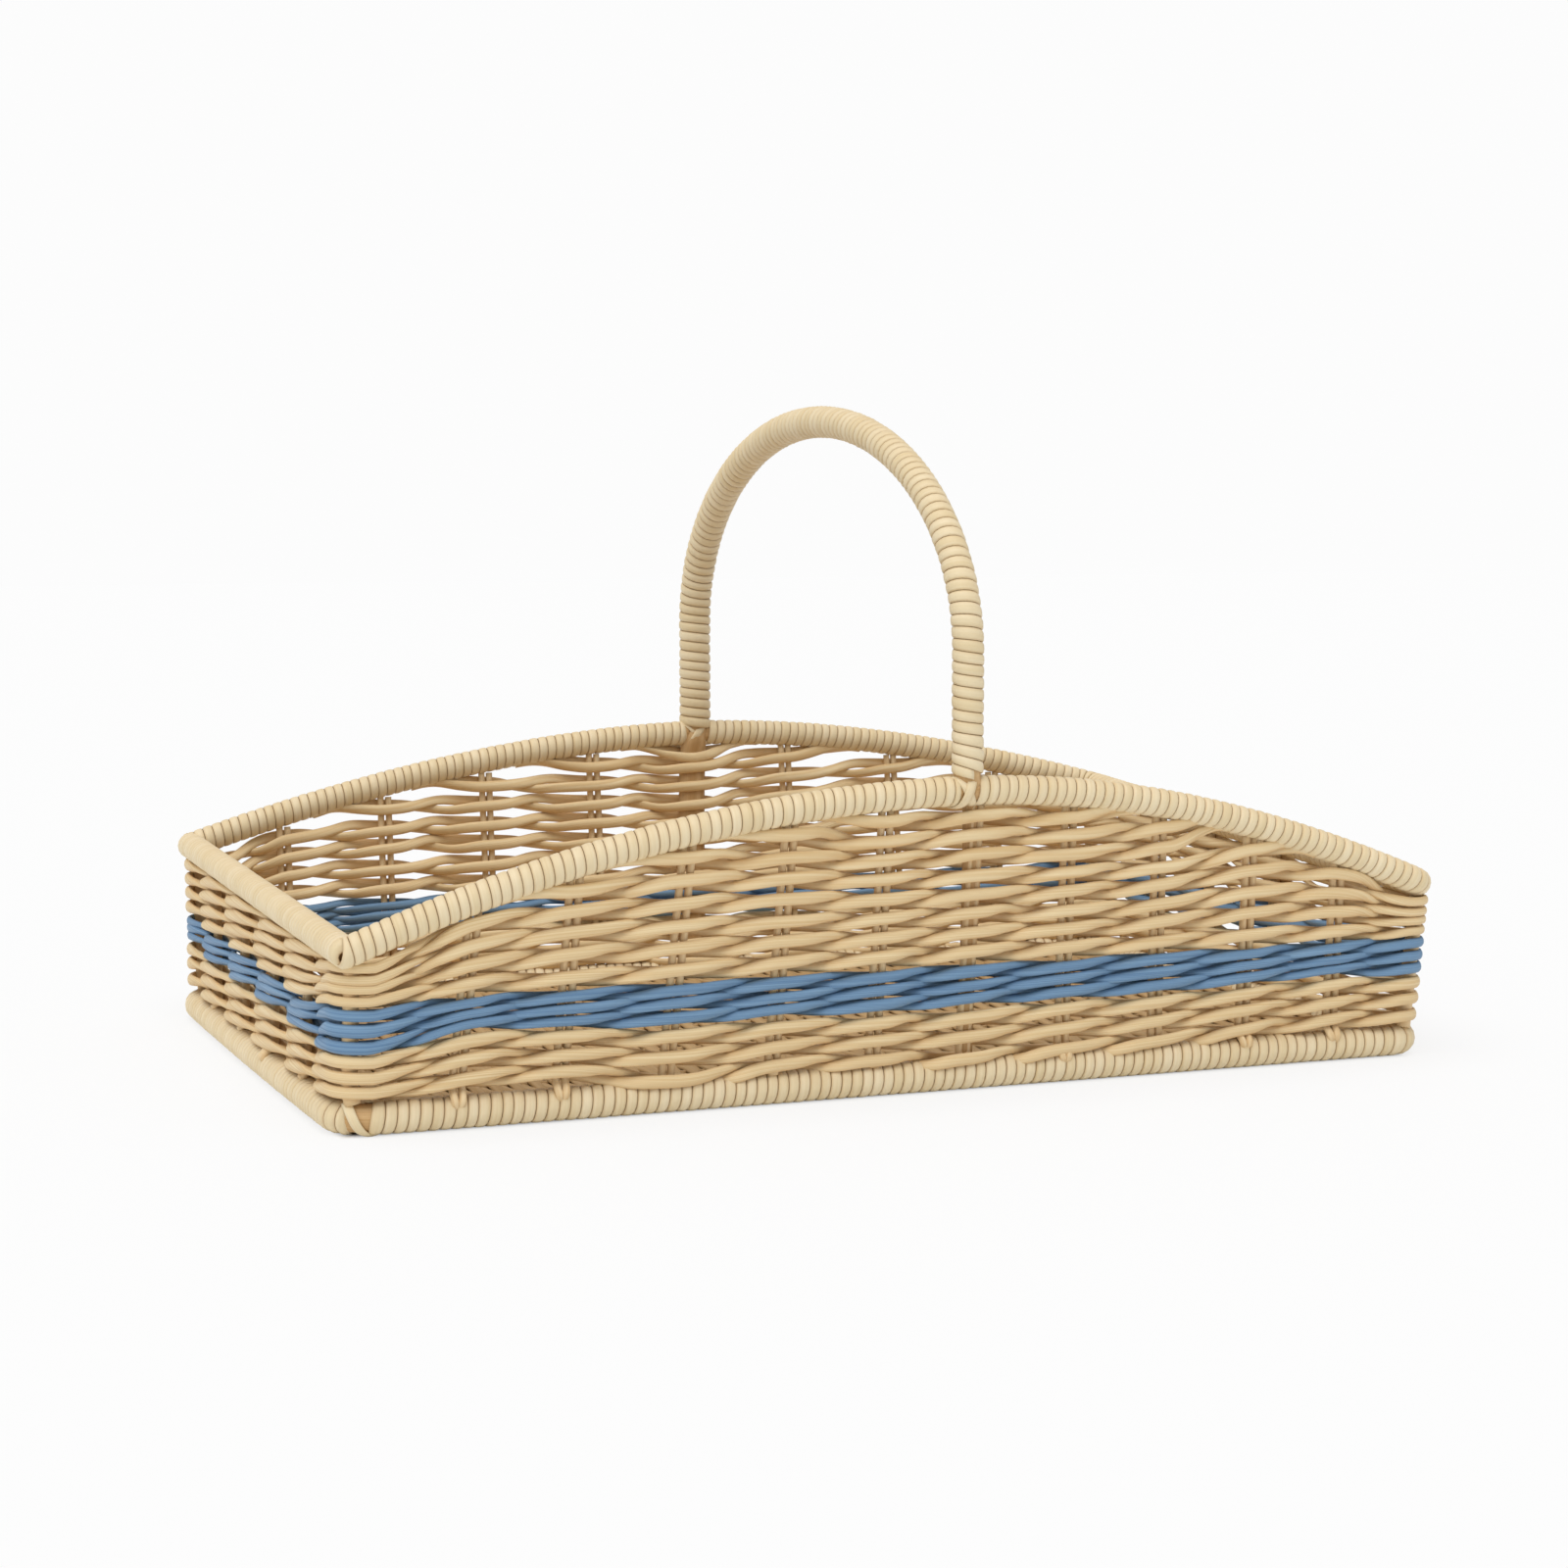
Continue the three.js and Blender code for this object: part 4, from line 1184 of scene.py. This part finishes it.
def add_row(name, row, material, slot, node):
    target = bmesh.new()
    section = dyed_section if is_dyed(row) else weaver_section
    present = ~np.isnan(row_heights[row])
    for half, (points, tilts, girth, inside) in enumerate(strand_paths(row)):
        number = 100 + row * 5.3 + half * 2.1
        if present.all():
            # A full row's canes are closed loops, which start inside the front wall, behind a stake
            start = luck.choice(np.flatnonzero(inside & (places_round < side_run)))
            order = [(start + i) % samples for i in range(samples)]
        else:
            first = next(i for i in range(samples) if present[i] and not present[i - 1])
            order = [(first + i) % samples for i in range(int(present.sum()))]
        path = np.array([points[i] for i in order])
        swell = np.array([0.07 * noise.noise((places_round[i] * 16, number, 0.2)) for i in order])
        radii = girth[order] * (1 + swell)
        add_strand(target, path, section, number, tilts[order], radii, "Z_UP", closed=bool(present.all()))
    mesh = close_strands(target, name)
    set_attribute(mesh, "shade", shade_of_strands(mesh))
    add_piece(name, mesh, material, slot, node)


for row in range(full_rows):
    kind = "dyed" if is_dyed(row) else "natural"
    material = dyed_cane if is_dyed(row) else natural_cane
    add_row(f"{kind}_weavers_{row + 1}", row, material, f"{kind}_cane", f"row_{row + 1:02d}_{kind}")
for row in range(full_rows, row_count):
    where = row_orders[row][0]
    number = (row - full_rows) % len(front_short_rows) + 1
    add_row(f"{where}_short_weavers_{number}", row, natural_cane, "natural_cane",
            f"short_row_{where}_{number}")

# The outlines of the strands have done their work
for outline in [piece for piece in scene.objects if piece.name.endswith("_section")]:
    bpy.data.objects.remove(outline)


# Studio. A plain white floor, a white surround, and one very large soft lamp above the camera. The camera
# sees the floor and the surround as the same white, with the basket's faint shadow on it.
key_light = bpy.data.lights.new("key_lamp", "SUN")
key_light.energy = 2
key_light.angle = math.radians(60)
key_lamp = bpy.data.objects.new("key_lamp", key_light)
key_lamp.rotation_euler = (Vector((0.28, 0.27, -1))).to_track_quat("-Z", "Y").to_euler()
scene.collection.objects.link(key_lamp)

floor_half_size = 6
sheet = bmesh.new()
bmesh.ops.create_grid(sheet, x_segments=1, y_segments=1, size=floor_half_size)
floor_mesh = mesh_of(sheet, "floor")
floor = bpy.data.objects.new("floor", floor_mesh)
scene.collection.objects.link(floor)

backdrop_white = (0.975, 0.975, 0.975, 1)
floor_paint = bpy.data.materials.new("floor_paint")
floor_paint.use_nodes = True
tree = floor_paint.node_tree
nodes = tree.nodes
link = tree.links.new
paint = nodes["Principled BSDF"]
paint.inputs["Base Color"].default_value = (0.88, 0.88, 0.88, 1)
paint.inputs["Roughness"].default_value = 0.9
glow = nodes.new("ShaderNodeEmission")
glow.inputs["Color"].default_value = backdrop_white
seen = nodes.new("ShaderNodeLightPath")
blend = nodes.new("ShaderNodeMixShader")
# The floor doesn't glow under the basket, where it is seen through the gaps of the weave
place = nodes.new("ShaderNodeTexCoord")
axes = nodes.new("ShaderNodeSeparateXYZ")
link(place.outputs["Object"], axes.inputs[0])
reaches = []
for axis, half_size in (("X", base_length / 2), ("Y", base_width / 2)):
    distance = math_node(tree, "ABSOLUTE", axes.outputs[axis])
    reaches.append(math_node(tree, "SUBTRACT", distance, half_size))
outside = math_node(tree, "MAXIMUM", *reaches)
glow_outside = map_range(tree, outside, -4 * mm, 2 * mm, 0, 0.8)
link(math_node(tree, "MULTIPLY", seen.outputs["Is Camera Ray"], glow_outside), blend.inputs[0])
link(paint.outputs[0], blend.inputs[1])
link(glow.outputs[0], blend.inputs[2])
link(blend.outputs[0], nodes["Material Output"].inputs["Surface"])
floor_mesh.materials.append(floor_paint)

surround = bpy.data.worlds.new("surround")
scene.world = surround
surround.use_nodes = True
nodes = surround.node_tree.nodes
link = surround.node_tree.links.new
nodes["Background"].inputs["Color"].default_value = (0.56, 0.56, 0.56, 1)
backdrop = nodes.new("ShaderNodeBackground")
backdrop.inputs["Color"].default_value = backdrop_white
seen = nodes.new("ShaderNodeLightPath")
blend = nodes.new("ShaderNodeMixShader")
link(seen.outputs["Is Camera Ray"], blend.inputs[0])
link(nodes["Background"].outputs[0], blend.inputs[1])
link(backdrop.outputs[0], blend.inputs[2])
link(blend.outputs[0], nodes["World Output"].inputs["Surface"])
scene.view_settings.view_transform = "Standard"
